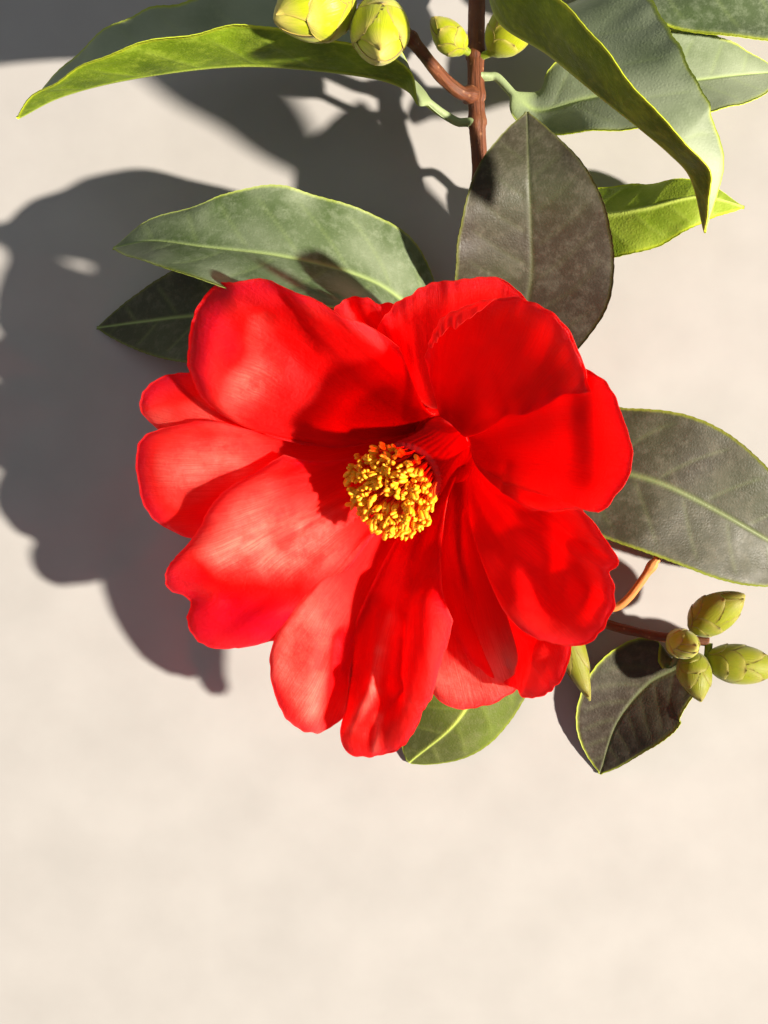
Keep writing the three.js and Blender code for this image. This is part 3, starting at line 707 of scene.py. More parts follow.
# Leaves
def leaf_material(name, dark, full, pale, rib, rim, rough_low, rough_high, coat, strength):
    """Leathery skin: a net of fine veins, a pale rib, a bright rim and grey blotches, partly dust and
    partly a painted sky reflection; tone is per leaf.
    """
    mat, tree, place, held = start_material(name, "tone", "vein", "rib", "rim", "warm")
    tone, vein, middle, edge, warm = held
    blotch = add_node(tree, "ShaderNodeTexNoise", {
        "Vector": place, "Scale": 170.0, "Detail": 5.0, "Roughness": 0.65}).outputs["Fac"]
    broad = add_node(tree, "ShaderNodeTexNoise", {
        "Vector": place, "Scale": 42.0, "Detail": 2.0}).outputs["Fac"]
    dust = add_node(tree, "ShaderNodeTexNoise", {
        "Vector": place, "Scale": 480.0, "Detail": 6.0, "Roughness": 0.75}).outputs["Fac"]
    net = add_node(
        tree, "ShaderNodeTexVoronoi", {"Vector": place, "Scale": 1300.0}, feature="DISTANCE_TO_EDGE")
    base = add_node(tree, "ShaderNodeValToRGB", {"Fac": tone}, ((0.0, dark), (0.5, full), (1.0, pale)))
    # Grey for the blotches, partly dust and partly a painted sky reflection, and for the dust film.
    bloom, film = (
        painted(tree, hexcolor(pale), (warm, 0, 1, 0, 1, brown)) for brown in ("#564e43", "#675f52"))
    color = painted(
        tree, base.outputs["Color"],
        (warm, 0, 1, 0, 1, "#352c23"),
        (broad, 0.4, 0.7, 0, 0.3, full),
        # grey blotches: dust, and a painted sky reflection
        (blotch, 0.52, 0.66, 0, 0.3, bloom),
        (dust, 0.48, 0.68, 0, 0.32, film),
        (vein, 0, 1, 0, 0.16, rib),
        (middle, 0, 1, 0, 1, rib),
        (edge, 0, 1, 0, 1, rim))
    relief = add_node(tree, "ShaderNodeMath", {0: net.outputs["Distance"], 1: blotch}, operation="ADD")
    worn = (blotch, 0.35, 0.65, rough_low, rough_high)
    leather = surfaced(tree, color, worn, relief.outputs[0], strength, 0.00016, {
        "Coat Weight": coat, "Coat Roughness": 0.35, "Specular IOR Level": 0.24})
    add_node(tree, "ShaderNodeOutputMaterial", {"Surface": leather})
    return mat


# glossy dark upper side and matt pale underside of an evergreen leaf
LEAF_UPPER = leaf_material(
    "leaf_upper_side", "#38402f", "#4a5a36", "#8d977c", "#93a565", "#b4c232", 0.45, 0.65, 0.05, 0.4)
LEAF_UNDER = leaf_material(
    "leaf_underside", "#4c620a", "#7a9418", "#a8bb3e", "#b4c45a", "#c6d628", 0.5, 0.7, 0.0, 0.6)

# Leaves: the limb, the share of its length and the spare gap; the midrib's stations on the sheet; half the
# width; fold and curve of the blade and its roll in degrees; then the looks
LEAVES = {
    "leaf_arching": dict(
        on=("main_stem", 0.12, 0.3), width=22, fold=32, curve=22, roll=-48, tone=0.85, under=0.1,
        line=((23.2, 98.8, 38), (33.2, 91.6, 53), (42.6, 84, 63), (51.2, 77, 68), (57.2, 71.8, 69),
              (61.2, 67.4, 67), (64.4, 56, 60)),
    ),
    "leaf_upper_left": dict(
        on=("main_stem", 0.43, 0), width=19, fold=26, curve=20, roll=56, tone=1.0, under=0.2,
        line=((12.2, 79.4, 18), (3.2, 85.6, 23), (-6.8, 88, 27), (-26.8, 89.4, 31),
              (-46.8, 87.6, 35), (-64.8, 83.2, 32), (-73.2, 78.8, 27)),
    ),
    "leaf_left": dict(
        on=("main_stem", 0.8, 0), edge=0.45, width=18, fold=10, curve=10, roll=38, tone=0.6,
        warm=0.04,
        line=((12, 36, 13), (-2, 46, 25), (-20.8, 51, 33), (-36.8, 53, 33), (-46.8, 54, 29),
              (-54.2, 52.8, 25)),
    ),
    "leaf_far_left": dict(
        on=("main_stem", 0.9, 0), width=16, fold=10, curve=8, edge=0.2, roll=15, tone=0.3,
        warm=0.75,
        line=((8, 27, 9), (-8, 35, 15), (-24, 39.4, 18), (-40, 39, 11), (-57.4, 36.8, 0.8)),
    ),
    "leaf_behind": dict(
        on=("main_stem", 0.68, 0), width=18, fold=8, curve=6, edge=0.15, rib=0.1, veins=0.2, roll=0,
        tone=0.1, warm=0.92,
        line=((27, 38, 13), (29.4, 46, 19), (29.4, 56, 25), (29, 67, 30), (28.6, 80, 29)),
    ),
    "leaf_right": dict(
        on=("main_stem", 0.86, 0), width=16, fold=6, curve=6, edge=0.5, rib=0.4, veins=0.5, roll=0,
        tone=0.05, warm=0.85,
        line=((34, 14, 10), (43, 9.4, 13), (56.2, 5.4, 15), (76.8, -5.6, 10), (90, -14, 0.8)),
    ),
    "leaf_below": dict(
        on=("lower_twig", 0.25, 0), blunt=0.6, edge=0.35, rib=0.4, veins=0.5, width=13, fold=8,
        curve=8, roll=165, tone=0.1, warm=0.86,
        line=((24, -14, 12.5), (21.5, -28, 14), (15, -41, 10), (5, -50, 1.2)),
    ),
    "leaf_lower_right": dict(
        on=("lower_twig", 0.9, 0), edge=0.7, rib=0.25, veins=0.4, width=12, fold=12, curve=12,
        roll=15, tone=0.0, warm=0.95,
        line=((59.6, -30.4, 6.5), (53, -34.4, 5), (46.8, -42, 4), (43.2, -52.4, 1.0)),
    ),
    "leaf_upper_right": dict(
        on=("main_stem", 0.35, 0), width=13, fold=14, curve=8, roll=-20, tone=0.85,
        line=((30, 80.4, 17), (40, 82.5, 21), (54, 85, 23), (68, 87, 19), (80, 88, 10)),
    ),
    "leaf_inner_right": dict(
        on=("main_stem", 0.53, 0), width=10, fold=12, curve=8, roll=155, tone=0.62, warm=0.2,
        line=((28, 60, 9), (41, 59, 12), (52, 60.5, 17), (63.2, 62.8, 19), (72, 61, 16)),
    ),
    "leaf_top_right": dict(
        on=("main_stem", 0.06, 0), width=14, fold=8, curve=6, roll=0, tone=0.2,
        line=((30, 113, 12), (48, 111, 21), (66, 107, 24), (82, 103, 20), (97, 98, 8)),
    ),
}


def leaf_outline(t, blunt):
    """Half the width at t, as a share of the fullest; a lower blunt gives a rounder tip."""
    t = np.clip(t, 0, 0.997)
    best = 0.72 / (0.72 + blunt)
    return t**0.72 * (1 - t) ** blunt / (best**0.72 * (1 - best) ** blunt)


def build_leaf(name, L):
    """A folded, drooping blade round its stalk line, with veins and a rib, seated on its limb."""
    stations = sheets(L["line"])
    line = through(seat(L["on"][0], L["on"][1], stations[0], L["on"][2]) + stations)
    length = line.length
    seed = sum(map(ord, name))
    sunk = -(SEAT_GAP + L["on"][2] + 0.7) / length
    stalk_rows = np.linspace(sunk, STALK_SHARE, 16)[:-1]
    blade_rows = STALK_SHARE + (1 - STALK_SHARE) * np.linspace(0, 1, int(length * 1.7)) ** 0.97
    w = np.linspace(-1, 1, 49)
    columns = np.sign(w) * np.abs(w) ** 1.25
    T, W = np.meshgrid(np.concatenate([stalk_rows, blade_rows]), columns, indexing="ij")
    spine = line(T)
    ahead = along(line, np.clip(T, 0, 1))
    n0 = unit(UP - (ahead @ UP)[..., None] * ahead)
    s0 = np.cross(ahead, n0)
    roll = np.radians(L["roll"]) * np.clip(T / 0.14, 0, 1)[..., None]
    n = n0 * np.cos(roll) + s0 * np.sin(roll)
    s = s0 * np.cos(roll) - n0 * np.sin(roll)
    blade_t = (T - STALK_SHARE) / (1 - STALK_SHARE)
    teeth = 0.16 * (((T * length / 1.9) % 1.0) - 0.5) * step(0.03, 0.15, blade_t) * step(1.0, 0.93, blade_t)
    wobble = 1 + 0.03 * waves(T * length, 0 * T + 3 * np.sign(W), seed, 26, 4) * step(0.1, 0.3, blade_t)
    half = L["width"] * leaf_outline(blade_t, L.get("blunt", 0.92)) * wobble + teeth
    half = np.maximum(half, STALK_HALF * (1 - 0.55 * np.maximum(T, 0)))
    x = half * np.abs(W)
    phi = math.radians(L["fold"])
    bend = math.radians(L["curve"]) / L["width"]
    blade = step(0.02, 0.1, blade_t)
    outward = (np.sin(phi + bend * x) - np.sin(phi)) / bend
    raised = (np.cos(phi) - np.cos(phi + bend * x)) / bend
    folded = s * (np.sign(W) * outward)[..., None] + n * raised[..., None]
    mean = folded * blade[..., None] + s * (W * half)[..., None] * (1 - blade)[..., None]
    spacing = length / 8.5
    run = T * length - x * 0.62 - 0.10 * x**2 / L["width"] * 2.4 + np.where(W > 0, 0.45 * spacing, 0)
    off = np.abs(run / spacing - np.round(run / spacing)) * spacing * 0.8
    inner = step(0.05, 0.12, np.abs(W)) * (1 - step(0.72, 0.92, np.abs(W))) * blade * step(1.0, 0.9, blade_t)
    vein = np.exp(-(off / 0.42) ** 2) * inner
    swell = -0.08 * np.exp(-(off / 1.4) ** 2) * inner
    rib = np.exp(-(x / np.maximum(0.85 * (1 - 0.7 * blade_t), 0.25)) ** 2) * blade
    calm = step(1.5, 9.0, spine[..., 2]) * step(0.05, 0.3, blade_t)
    drift = 0.45 * waves(T * length, W * half, seed + 7, 24, 5) * calm * (0.3 + 0.7 * np.abs(W))
    drift += (0.35 * waves(T * length, 8 * np.sign(W), seed + 9, 11, 4) * calm
              * step(0.6, 1.0, np.abs(W)) * step(1.0, 0.8, blade_t))
    P = spine + mean + n * (swell + drift)[..., None]
    round_off = np.sqrt(np.clip(1 - W**2, 0, 1))
    stalk = STALK_HALF * (1 - 0.4 * np.clip(T, 0, 1)) * round_off + 0.02
    stalk = stalk * (1 + 0.5 * np.exp(-np.maximum(T * length, -0.3) / 1.1))
    thin_edge = 0.11 + 0.1 * step(1.0, 0.8, np.abs(W))
    front = stalk * (1 - blade) + (thin_edge - 0.16 * rib - 0.05 * vein) * blade
    back = stalk * (1 - blade) + (thin_edge + 0.55 * rib * (1 - 0.75 * blade_t) + 0.1 * vein) * blade
    normal = np.cross(np.gradient(P, axis=0), np.gradient(P, axis=1))
    side = np.sign(np.einsum("ijk,ijk->ij", normal, n).mean())
    normal = unit(normal) * side
    top, under = P + normal * front[..., None], P - normal * back[..., None]
    upper, lower, sides = closed_sheet(*T.shape)
    faces = np.concatenate([upper, lower, sides])
    if side < 0:
        faces = faces[:, ::-1]
    kinds = np.concatenate([np.zeros(len(upper)), np.ones(len(lower)), np.zeros(len(sides))]).astype(np.int32)
    points = np.concatenate([top.reshape(-1, 3), under.reshape(-1, 3)])
    points[:, 2] = np.maximum(points[:, 2], SHIFT[2] + 0.02)
    to_rim = half * (1 - np.abs(W))
    rim = np.exp(-(to_rim / 0.42) ** 2) * blade
    tone = np.repeat([L["tone"], L.get("under", L["tone"])], T.size)
    tone = tone + 0.12 * twice(waves(T * length, W * half, seed + 30, 15, 5))
    ribs = [(rib * share + (1 - blade) * 0.5).ravel() for share in (L.get("rib", 0.8), 0.9)]
    extras = {
        "tone": np.clip(tone, 0, 1),
        "warm": np.full(len(points), L.get("warm", 0.0)),
        "vein": twice(vein) * L.get("veins", 1.0),
        "rim": twice(rim) * L.get("edge", 1.0),
        "rib": np.concatenate(ribs),
    }
    uv = np.stack([twice(W * half), twice(T * length)], 1)
    piece = make(name, points, faces.tolist(), [LEAF_UPPER, LEAF_UNDER], uv, extras, kinds)
    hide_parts(name)


for name, L in LEAVES.items():
    build_leaf(name, L)


# Buds and calyx, wrapped in overlapping scales
def scale_material(name, deep, full, tip, rim_color):
    """Waxy scale, paler and drier towards its tip, with a thin dry rim and fine lengthwise lines; shaded
    buds get painted shade.
    """
    mat, tree, place, (length, edge, bud_shade_paint) = start_material(name, "length", "rim", "bud_shade_paint")
    uv = add_node(tree, "ShaderNodeUVMap", uv_map="Grain").outputs["UV"]
    long = add_node(tree, "ShaderNodeMapping", {"Vector": uv, "Scale": (5.0, 0.6, 1.0)})
    lines = add_node(tree, "ShaderNodeTexNoise", {
        "Vector": long.outputs["Vector"], "Scale": 1.0, "Detail": 4.0}).outputs["Fac"]
    spots = add_node(tree, "ShaderNodeTexNoise", {
        "Vector": place, "Scale": 380.0, "Detail": 4.0, "Roughness": 0.6}).outputs["Fac"]
    base = add_node(tree, "ShaderNodeValToRGB", {"Fac": length}, (
        (0.0, deep), (0.45, full), (0.8, full), (1.0, tip)))
    color = painted(
        tree, base.outputs["Color"],
        (lines, 0.45, 0.7, 0, 0.35, deep),
        (spots, 0.58, 0.75, 0, 0.5, tip),
        (edge, 0, 1, 0, 1, rim_color),
        # painted shade on buds that lie in shade
        (bud_shade_paint, 0, 1, 0, 1, "#5a5814"))
    wax = surfaced(tree, color, (spots, 0.3, 0.7, 0.4, 0.62), lines, 0.35, 0.0003, {
        "Subsurface Weight": 0.15, "Subsurface Radius": (0.6, 0.9, 0.2), "Subsurface Scale": 0.0008,
        "Sheen Weight": 0.12, "Sheen Roughness": 0.5, "Specular IOR Level": 0.3})
    add_node(tree, "ShaderNodeOutputMaterial", {"Surface": wax})
    return mat


# waxy lime bud scale with a dry pale tip
BUD_SCALE = scale_material("lime_bud_scale", "#7e9408", "#aeb610", "#c8b860", "#a89444")
# silky green-brown scale below the bloom
SEPAL_SCALE = scale_material("silky_sepal", "#5c5a1e", "#8f9a3c", "#b7a878", "#6a4226")


def wrapped(name, line, profile, layers, skin, node, seed, bud_shade_paint=0.0):
    """A core with overlapping scales; layers are (start, end, count, half-angle, lift, first turn)."""
    rng = np.random.default_rng(seed)
    rows = np.linspace(0, 1, 24)
    if node != "calyx":
        # A bud's stalk runs on into the bark that carries it.
        rows = np.concatenate([np.linspace(-1.1 / line.length, 0, 3)[:-1], np.linspace(0, 1, 30)])
    points, faces, where = tube(line, lambda t: profile(t) * 0.96, rows, 28)
    blocks = [(points, faces, where[:, 1], np.zeros(len(points)), where * 12)]
    at = line(np.linspace(0, 1, 5))
    axis = unit(at[-1] - at[1])
    e1 = unit(ODD_WAY - (ODD_WAY @ axis) * axis)
    e2 = np.cross(axis, e1)
    for t0, t1, count, half_angle, lift, first in layers:
        for k in range(count):
            middle = math.tau * (first + k / count) + rng.uniform(-0.1, 0.1)
            end = t1 + rng.uniform(-0.02, 0.02)

            def surface(s, q):
                t = t0 + (end - t0) * s
                g = 2 * q - 1
                narrowing = np.clip((s - 0.35) / 0.65, 0, 1) ** 2.2
                shape = np.sqrt(np.clip(1 - narrowing, 0, 1)) * 0.98 + 0.02
                a = middle + g * math.radians(half_angle) * shape
                r = profile(t) + lift * (0.35 + 0.65 * s) - 0.12 * np.abs(g) ** 3
                r = r + 0.12 * step(0.85, 1, s) * lift
                return line(t) + r[..., None] * (np.cos(a)[..., None] * e1 + np.sin(a)[..., None] * e2)

            grid = np.linspace(0, 1, 15)
            pts, fcs, (s, q) = shell(surface, grid, grid, lambda s, q: 0.22 + 0 * s)
            rim = np.maximum(np.abs(2 * q - 1) ** 10, np.clip((s - 0.93) / 0.07, 0, 1))
            blocks.append((pts, fcs, 0.15 + 0.85 * s, rim, np.stack([(q - 0.5) * 8 + k * 3.3, s * 8], 1)))
    all_faces = []
    offset = 0
    for block in blocks:
        all_faces += [[v + offset for v in f] for f in block[1]]
        offset += len(block[0])
    points, length, rim, uv = (np.concatenate([block[k] for block in blocks]) for k in (0, 2, 3, 4))
    extras = {"bud_shade_paint": np.full(offset, bud_shade_paint), "length": length, "rim": rim}
    piece = make(name, points, all_faces, [skin], uv, extras)
    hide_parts(node)


# A bud's last value darkens it with painted shade where it lies in shade.
BUDS = {
    "bud_front_right": dict(on=("side_twig", 0.86), tip=(-0.8, 91, 61), radius=5.5),
    "bud_front_left": dict(on=("side_twig", 0.99), tip=(-22, 98.5, 57), radius=6.8),
    "bud_behind_left": dict(on=("main_stem", 0.31), tip=(9.5, 99, 21), radius=3.2, bud_shade_paint=0.25),
    "bud_behind_right": dict(on=("main_stem", 0.315), tip=(30.6, 104, 22), radius=4.7, bud_shade_paint=0.25),
    "bud_cluster_top": dict(on=("lower_twig", 0.95), tip=(72.2, -16.6, 21), radius=4.2, bud_shade_paint=0.6),
    "bud_cluster_left": dict(on=("lower_twig", 0.9), tip=(62.6, -27.4, 24), radius=3.0, bud_shade_paint=0.3),
    "bud_cluster_low": dict(on=("lower_twig", 0.95), tip=(63.4, -38, 16.5), radius=3.6, bud_shade_paint=0.7),
    "bud_cluster_right": dict(on=("lower_twig", 1.0), tip=(80, -31.5, 15), radius=4.2, bud_shade_paint=0.6),
    "bud_under_bloom": dict(on=("lower_twig", 0.48), tip=(41.2, -37.8, 13), radius=3.5, bud_shade_paint=0.7),
}


BUD_LAYERS = (
    (0.06, 0.34, 3, 62, 0.42, 0.1), (0.08, 0.55, 3, 66, 0.32, 0.4),
    (0.12, 0.78, 3, 66, 0.22, 0.2), (0.2, 0.97, 2, 88, 0.12, 0.55))
CALYX_LAYERS = ((0.02, 0.4, 3, 60, 0.7, 0.0), (0.05, 0.7, 3, 64, 0.45, 0.45), (0.2, 1.0, 4, 52, 0.2, 0.2))


def build_bud(name, on, tip, radius, bud_shade_paint=0.0):
    """An egg-shaped bud on a short stalk, seated on its limb."""
    end = sheet(*tip)
    line = through(seat(on[0], on[1], end) + [end])

    def profile(t):
        egg = np.clip((t - 0.1) / 0.9, 0, 0.995)
        return np.maximum(radius * np.sin(math.pi * egg**0.8) ** 0.7, 0.9 * (1 - t) + 0.2 * t)

    wrapped(name, line, profile, BUD_LAYERS, BUD_SCALE, name, sum(map(ord, name)), bud_shade_paint)


def calyx_profile(t):
    """The calyx's radius from its stalk up to the bloom."""
    return np.interp(t, (0, 0.15, 0.3, 0.5, 0.7, 0.85, 1), (2.4, 4.3, 6.1, 7.6, 8.4, 8.3, 7.6))


for name, b in BUDS.items():
    build_bud(name, **b)

calyx_line = through([BLOOM_BASE + AXIS * d for d in (-13.5, -10, -6.5, -3.6)])
wrapped("calyx_scales", calyx_line, calyx_profile, CALYX_LAYERS, SEPAL_SCALE, "calyx", 5)


# Stamens
def stamen_material(name, low_color, high_color, deep, strength):
    """Soft flesh that changes colour from foot to tip, with a fine grain."""
    mat, tree, place, (height,) = start_material(name, "length")
    grain = add_node(tree, "ShaderNodeTexNoise", {
        "Vector": place, "Scale": 900.0, "Detail": 4.0, "Roughness": 0.6}).outputs["Fac"]
    base = add_node(tree, "ShaderNodeValToRGB", {"Fac": height}, ((0.0, low_color), (1.0, high_color)))
    color = painted(tree, base.outputs["Color"], (grain, 0.45, 0.7, 0, 0.6, deep))
    flesh = surfaced(tree, color, (grain, 0.3, 0.7, 0.5, 0.75), grain, strength, 0.0003, {
        "Subsurface Weight": 0.2, "Subsurface Radius": (1.0, 0.3, 0.1), "Subsurface Scale": 0.0006})
    add_node(tree, "ShaderNodeOutputMaterial", {"Surface": flesh})
    return mat


# fleshy red of the fused stamen tube
TUBE_FLESH = stamen_material("stamen_tube_flesh", "#d20503", "#a80302", "#c00402", 0.3)
# orange free filament
FILAMENT = stamen_material("filament", "#f03006", "#ff8410", "#e05206", 0.2)
# powdery golden anther
ANTHER = stamen_material("golden_anther", "#ffa200", "#ffb408", "#dc7000", 0.8)


def geometry_tree():
    """Runs a filament along every line of edges, with a two-lobed anther on its far end."""
    tree = bpy.data.node_groups.new("stamens", "GeometryNodeTree")
    sockets = tree.interface
    sockets.new_socket("Geometry", in_out="INPUT", socket_type="NodeSocketGeometry")
    for label in ("Filament Radius", "Anther Length", "Anther Width"):
        sockets.new_socket(label, in_out="INPUT", socket_type="NodeSocketFloat")
    sockets.new_socket("Seed", in_out="INPUT", socket_type="NodeSocketInt")
    for label in ("Filament Material", "Anther Material"):
        sockets.new_socket(label, in_out="INPUT", socket_type="NodeSocketMaterial")
    sockets.new_socket("Geometry", in_out="OUTPUT", socket_type="NodeSocketGeometry")
    given = tree.nodes.new("NodeGroupInput").outputs
    result = tree.nodes.new("NodeGroupOutput")
    lines = add_node(tree, "GeometryNodeMeshToCurve", {"Mesh": given["Geometry"]})
    place = add_node(tree, "GeometryNodeSplineParameter")
    ring = add_node(tree, "GeometryNodeCurvePrimitiveCircle", {
        "Resolution": 5, "Radius": given["Filament Radius"]})
    thin = add_node(tree, "ShaderNodeMapRange", {
        "Value": place.outputs["Factor"], "To Min": 1.3, "To Max": 0.75})
    tapered = add_node(tree, "GeometryNodeSetCurveRadius", {
        "Curve": lines.outputs["Curve"], "Radius": thin.outputs["Result"]})
    stalks = add_node(tree, "GeometryNodeCurveToMesh", {
        "Curve": tapered.outputs["Curve"], "Profile Curve": ring.outputs["Curve"], "Fill Caps": True})
    stalks = add_node(tree, "GeometryNodeSetMaterial", {
        "Geometry": stalks.outputs["Mesh"], "Material": given["Filament Material"]})
    lobe = add_node(tree, "GeometryNodeMeshIcoSphere", {"Radius": 1.0, "Subdivisions": 2})
    half = add_node(tree, "ShaderNodeMath", {0: given["Anther Width"], 1: 0.5}, operation="MULTIPLY")
    tall = add_node(tree, "ShaderNodeMath", {0: given["Anther Length"], 1: 0.5}, operation="MULTIPLY")
    slim = add_node(tree, "ShaderNodeMath", {0: half.outputs[0], 1: 0.62}, operation="MULTIPLY")
    size = add_node(tree, "ShaderNodeCombineXYZ", {
        "X": slim.outputs[0], "Y": slim.outputs[0], "Z": tall.outputs[0]})
    lobes = []
    for way in (-1, 1):
        shift = add_node(tree, "ShaderNodeMath", {0: half.outputs[0], 1: 0.5 * way}, operation="MULTIPLY")
        at = add_node(tree, "ShaderNodeCombineXYZ", {"X": shift.outputs[0]})
        moved = add_node(tree, "GeometryNodeTransform", {
            "Geometry": lobe.outputs["Mesh"], "Translation": at.outputs[0], "Scale": size.outputs[0]})
        lobes.append(moved.outputs["Geometry"])
    both = add_node(tree, "GeometryNodeJoinGeometry")
    for one in lobes:
        tree.links.new(one, both.inputs[0])
    smooth = add_node(tree, "GeometryNodeSetShadeSmooth", {0: both.outputs[0]})
    golden = add_node(tree, "GeometryNodeSetMaterial", {
        "Geometry": smooth.outputs[0], "Material": given["Anther Material"]})
    ends = add_node(tree, "GeometryNodeCurveEndpointSelection", {"Start Size": 0, "End Size": 1})
    tangent = add_node(tree, "GeometryNodeInputTangent")
    tips = add_node(tree, "GeometryNodeCurveToPoints", {"Curve": lines.outputs["Curve"]}, mode="EVALUATED")
    last = add_node(tree, "ShaderNodeMath", {0: place.outputs["Factor"], 1: 0.99}, operation="GREATER_THAN")
    kept = add_node(tree, "GeometryNodeCaptureAttribute", {"Geometry": lines.outputs["Curve"]})
    kept.capture_items.new("FLOAT", "last")
    kept.capture_items.new("VECTOR", "way")
    tree.links.new(last.outputs[0], kept.inputs["last"])
    tree.links.new(tangent.outputs[0], kept.inputs["way"])
    tree.links.new(kept.outputs["Geometry"], tips.inputs["Curve"])
    turn = add_node(tree, "FunctionNodeAlignRotationToVector", {"Vector": kept.outputs["way"]}, axis="Z")
    spin = add_node(tree, "FunctionNodeRandomValue", {
        "Seed": given["Seed"], 0: (-0.7, -0.7, -3.1), 1: (0.7, 0.7, 3.1)}, data_type="FLOAT_VECTOR")
    spun = add_node(tree, "FunctionNodeEulerToRotation", {0: spin.outputs[0]})
    both_turns = add_node(tree, "FunctionNodeRotateRotation", {
        "Rotation": turn.outputs[0], "Rotate By": spun.outputs[0]}, rotation_space="LOCAL")
    sizes = add_node(tree, "FunctionNodeRandomValue", {
        "Seed": given["Seed"], 2: 0.75, 3: 1.2}, data_type="FLOAT")
    placed = add_node(tree, "GeometryNodeInstanceOnPoints", {
        "Points": tips.outputs["Points"], "Selection": kept.outputs["last"], "Instance": golden.outputs[0],
        "Rotation": both_turns.outputs[0], "Scale": sizes.outputs[1]})
    solid = add_node(tree, "GeometryNodeRealizeInstances", {"Geometry": placed.outputs[0]})
    joined = add_node(tree, "GeometryNodeJoinGeometry")
    tree.links.new(stalks.outputs[0], joined.inputs[0])
    tree.links.new(solid.outputs[0], joined.inputs[0])
    tree.links.new(joined.outputs[0], result.inputs[0])
    return tree


E1 = unit(np.cross(AXIS, UP))
E2 = np.cross(AXIS, E1)


def tube_radius(d):
    """The stamen tube's radius at a height above the bloom's base."""
    return np.interp(d, (-3, 0, 2, 5, 12, 18, 23), (8.4, 7.4, 6.2, 5.5, 5.9, 7.0, 7.7))


def build_cup():
    """The fused floor of the corolla, from the calyx up between the claws."""
    d = np.array([-3.4, -2.2, -0.4, 1.6, 3.4, 4.4, 4.0, 3.0, 2.0, 1.2])
    r = np.array([6.6, 8.6, 9.3, 9.6, 9.5, 8.9, 8.0, 7.0, 6.0, 4.4])
    run = np.linspace(0, 1, len(d))
    rows = np.linspace(0, 1, 44)
    T, A = np.meshgrid(rows, np.linspace(0, math.tau, 96, endpoint=False), indexing="ij")
    radius = np.interp(T, run, r) + 0.12 * waves(A * 9, T * 9, 8, 3) * step(0, 0.1, T)
    out = np.cos(A)[..., None] * E1 + np.sin(A)[..., None] * E2
    P = BLOOM_BASE + AXIS * np.interp(T, run, d)[..., None] + radius[..., None] * out
    ends = np.array([BLOOM_BASE + AXIS * d[0], BLOOM_BASE + AXIS * d[-1]])
    length = np.concatenate([T.ravel() * 0.3, [0, 0]])
    uv = np.concatenate([np.stack([A.ravel() * 2, T.ravel()], 1), [[0, 0], [0, 0]]])
    extras = {"length": length, "rim": np.ones(len(length))}
    extras.update((key, 0 * length) for key in ("crimson_shade_paint", "sheen_paint", "deep"))
    points = np.concatenate([P.reshape(-1, 3), ends])
    piece = make("corolla_floor", points, closed_rings(*T.shape), [PETAL_FLESH], uv, extras)
    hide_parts("petals")


build_cup()


def build_stamens():
    """A ribbed tube of fused filaments, and a head of free ones with their anthers."""
    line = through([BLOOM_BASE + AXIS * d for d in (0.4, 8, 16, TUBE_LENGTH)])
    rows = np.linspace(0, 1, 70)

    def profile(t):
        return tube_radius(0.4 + t * (TUBE_LENGTH - 0.4))

    def relief(t, a):
        ribs = 0.16 * step(0.15, 0.9, t) * np.abs(np.sin(a * math.pi * TUBE_RIBS))
        return ribs - 1.2 * step(0.96, 1.0, t) + 0.12 * waves(a * 40, t * 4, 4, 9)

    points, faces, where = tube(line, profile, rows, 170, relief)
    # The mouth is hollow: the end cap sinks into the tube.
    points[-1] = line(0.6)
    piece = make("stamen_tube", points, faces, [TUBE_FLESH], where * 10, {"length": where[:, 1]})
    rng = np.random.default_rng(12)
    pts = []
    edges = []
    for k in range(HEAD_COUNT):
        share = (k + 0.5) / HEAD_COUNT
        a = k * GOLDEN_ANGLE + rng.uniform(-0.12, 0.12)
        r = 2.2 + 7.6 * share**0.6 + rng.uniform(-0.4, 0.4)
        top = 31.6 - 0.055 * max(r - 3.5, 0) ** 2.1 + rng.uniform(-1.2, 0.8)
        foot_r = 1.9 + 4.2 * share**0.7
        way = E1 * math.cos(a) + E2 * math.sin(a)
        foot = BLOOM_BASE + AXIS * (TUBE_LENGTH - 3) + way * foot_r
        tip = BLOOM_BASE + AXIS * top + way * r
        bow = foot + AXIS * (top - TUBE_LENGTH + 3) * 0.6 + way * (r - foot_r) * 0.25
        ts = np.linspace(0, 1, 8)[:, None]
        curve = (1 - ts) ** 2 * foot + 2 * ts * (1 - ts) * bow + ts**2 * tip
        n = len(pts)
        pts += list(curve)
        edges += [(n + j, n + j + 1) for j in range(7)]
    mesh = bpy.data.meshes.new("stamen_lines")
    mesh.from_pydata(((np.array(pts) - SHIFT) * MM).tolist(), edges, [])
    lines = bpy.data.objects.new("stamen_lines", mesh)
    bpy.context.scene.collection.objects.link(lines)
    modifier = lines.modifiers.new("stamens", "NODES")
    modifier.node_group = geometry_tree()
    values = {
        "Filament Radius": 0.24 * MM, "Anther Length": 2.2 * MM, "Anther Width": 1.45 * MM, "Seed": 3,
        "Filament Material": FILAMENT, "Anther Material": ANTHER}
    for item in modifier.node_group.interface.items_tree:
        if item.in_out == "INPUT" and item.name in values:
            modifier[item.identifier] = values[item.name]
    bpy.context.view_layer.update()
    grown = bpy.data.meshes.new_from_object(lines.evaluated_get(bpy.context.evaluated_depsgraph_get()))
    lines.modifiers.remove(modifier)
    lines.data = grown
    spots = np.zeros(len(grown.vertices) * 3)
    grown.vertices.foreach_get("co", spots)
    d = (spots.reshape(-1, 3) / MM + SHIFT - BLOOM_BASE) @ AXIS
    a = grown.attributes.new("length", "FLOAT", "POINT")
    a.data.foreach_set("value", np.clip((d - 20) / 12, 0, 1).astype(np.float32))
    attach(lines, "root")
    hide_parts("stamens")
    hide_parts("stamens")


build_stamens()

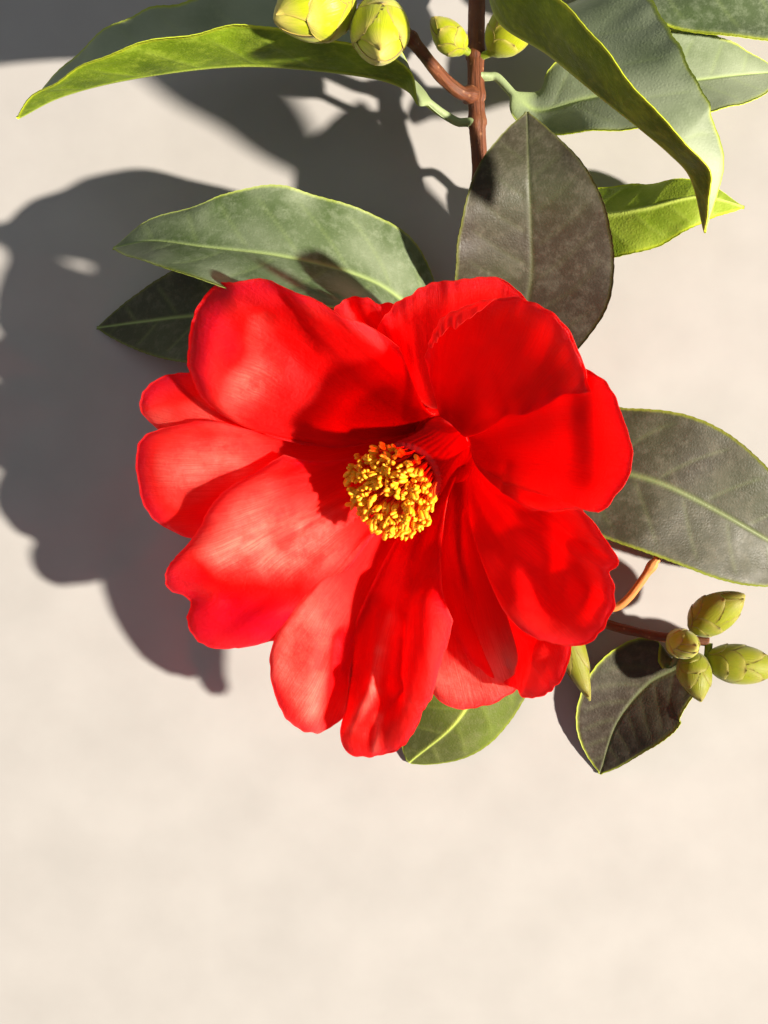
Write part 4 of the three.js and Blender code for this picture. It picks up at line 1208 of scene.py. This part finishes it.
# Floor, light and camera
mat, tree, place, _ = start_material("pale_paper_floor")
grain = add_node(tree, "ShaderNodeTexNoise", {"Vector": place, "Scale": 60.0, "Detail": 4.0})
tone = add_node(tree, "ShaderNodeValToRGB", {"Fac": grain.outputs["Fac"]}, (
    (0.3, "#a09d99"), (0.7, "#a7a4a0")))
paper = add_node(tree, "ShaderNodeBsdfPrincipled", {"Base Color": tone.outputs["Color"], "Roughness": 0.9})
add_node(tree, "ShaderNodeOutputMaterial", {"Surface": paper.outputs["BSDF"]})
floor_mesh = bpy.data.meshes.new("floor")
floor_mesh.from_pydata([(-3, -3, 0), (3, -3, 0), (3, 3, 0), (-3, 3, 0)], [], [(0, 1, 2, 3)])
floor_mesh.materials.append(mat)
floor = bpy.data.objects.new("floor", floor_mesh)
bpy.context.scene.collection.objects.link(floor)


def area_light(name, azimuth, elevation, distance, size, power, color):
    """A round lamp that looks at the bloom from a distance, with sizes in metres."""
    data = bpy.data.lights.new(name, "AREA")
    data.shape = "DISK"
    data.size = size
    data.energy = power
    data.color = hexcolor(color)[:3]
    lamp = bpy.data.objects.new(name, data)
    a = math.radians(azimuth)
    e = math.radians(elevation)
    way = Vector((math.cos(e) * math.cos(a), math.cos(e) * math.sin(a), math.sin(e)))
    lamp.location = Vector((0, 0, 0.03)) + way * distance
    lamp.rotation_mode = "QUATERNION"
    lamp.rotation_quaternion = way.to_track_quat("Z", "Y")
    bpy.context.scene.collection.objects.link(lamp)


area_light("key", -17, 37.5, 4.0, 0.17, 560, "#fff4e6")
area_light("sky", 150, 62, 1.2, 1.2, 2.6, "#eef4ff")
world = bpy.data.worlds.new("studio")
world.use_nodes = True
world.node_tree.nodes["Background"].inputs["Color"].default_value = hexcolor("#e8ecf2")
world.node_tree.nodes["Background"].inputs["Strength"].default_value = 0.15
bpy.context.scene.world = world
bpy.context.scene.view_settings.view_transform = "Standard"

lens = bpy.data.cameras.new("camera")
lens.sensor_fit = "VERTICAL"
lens.sensor_height = 36.0
lens.lens = 45.7
camera = bpy.data.objects.new("camera", lens)
camera.location = (-SHIFT[0] * MM, -SHIFT[1] * MM, (EYE_HEIGHT - SHIFT[2]) * MM)
bpy.context.scene.collection.objects.link(camera)
bpy.context.scene.camera = camera
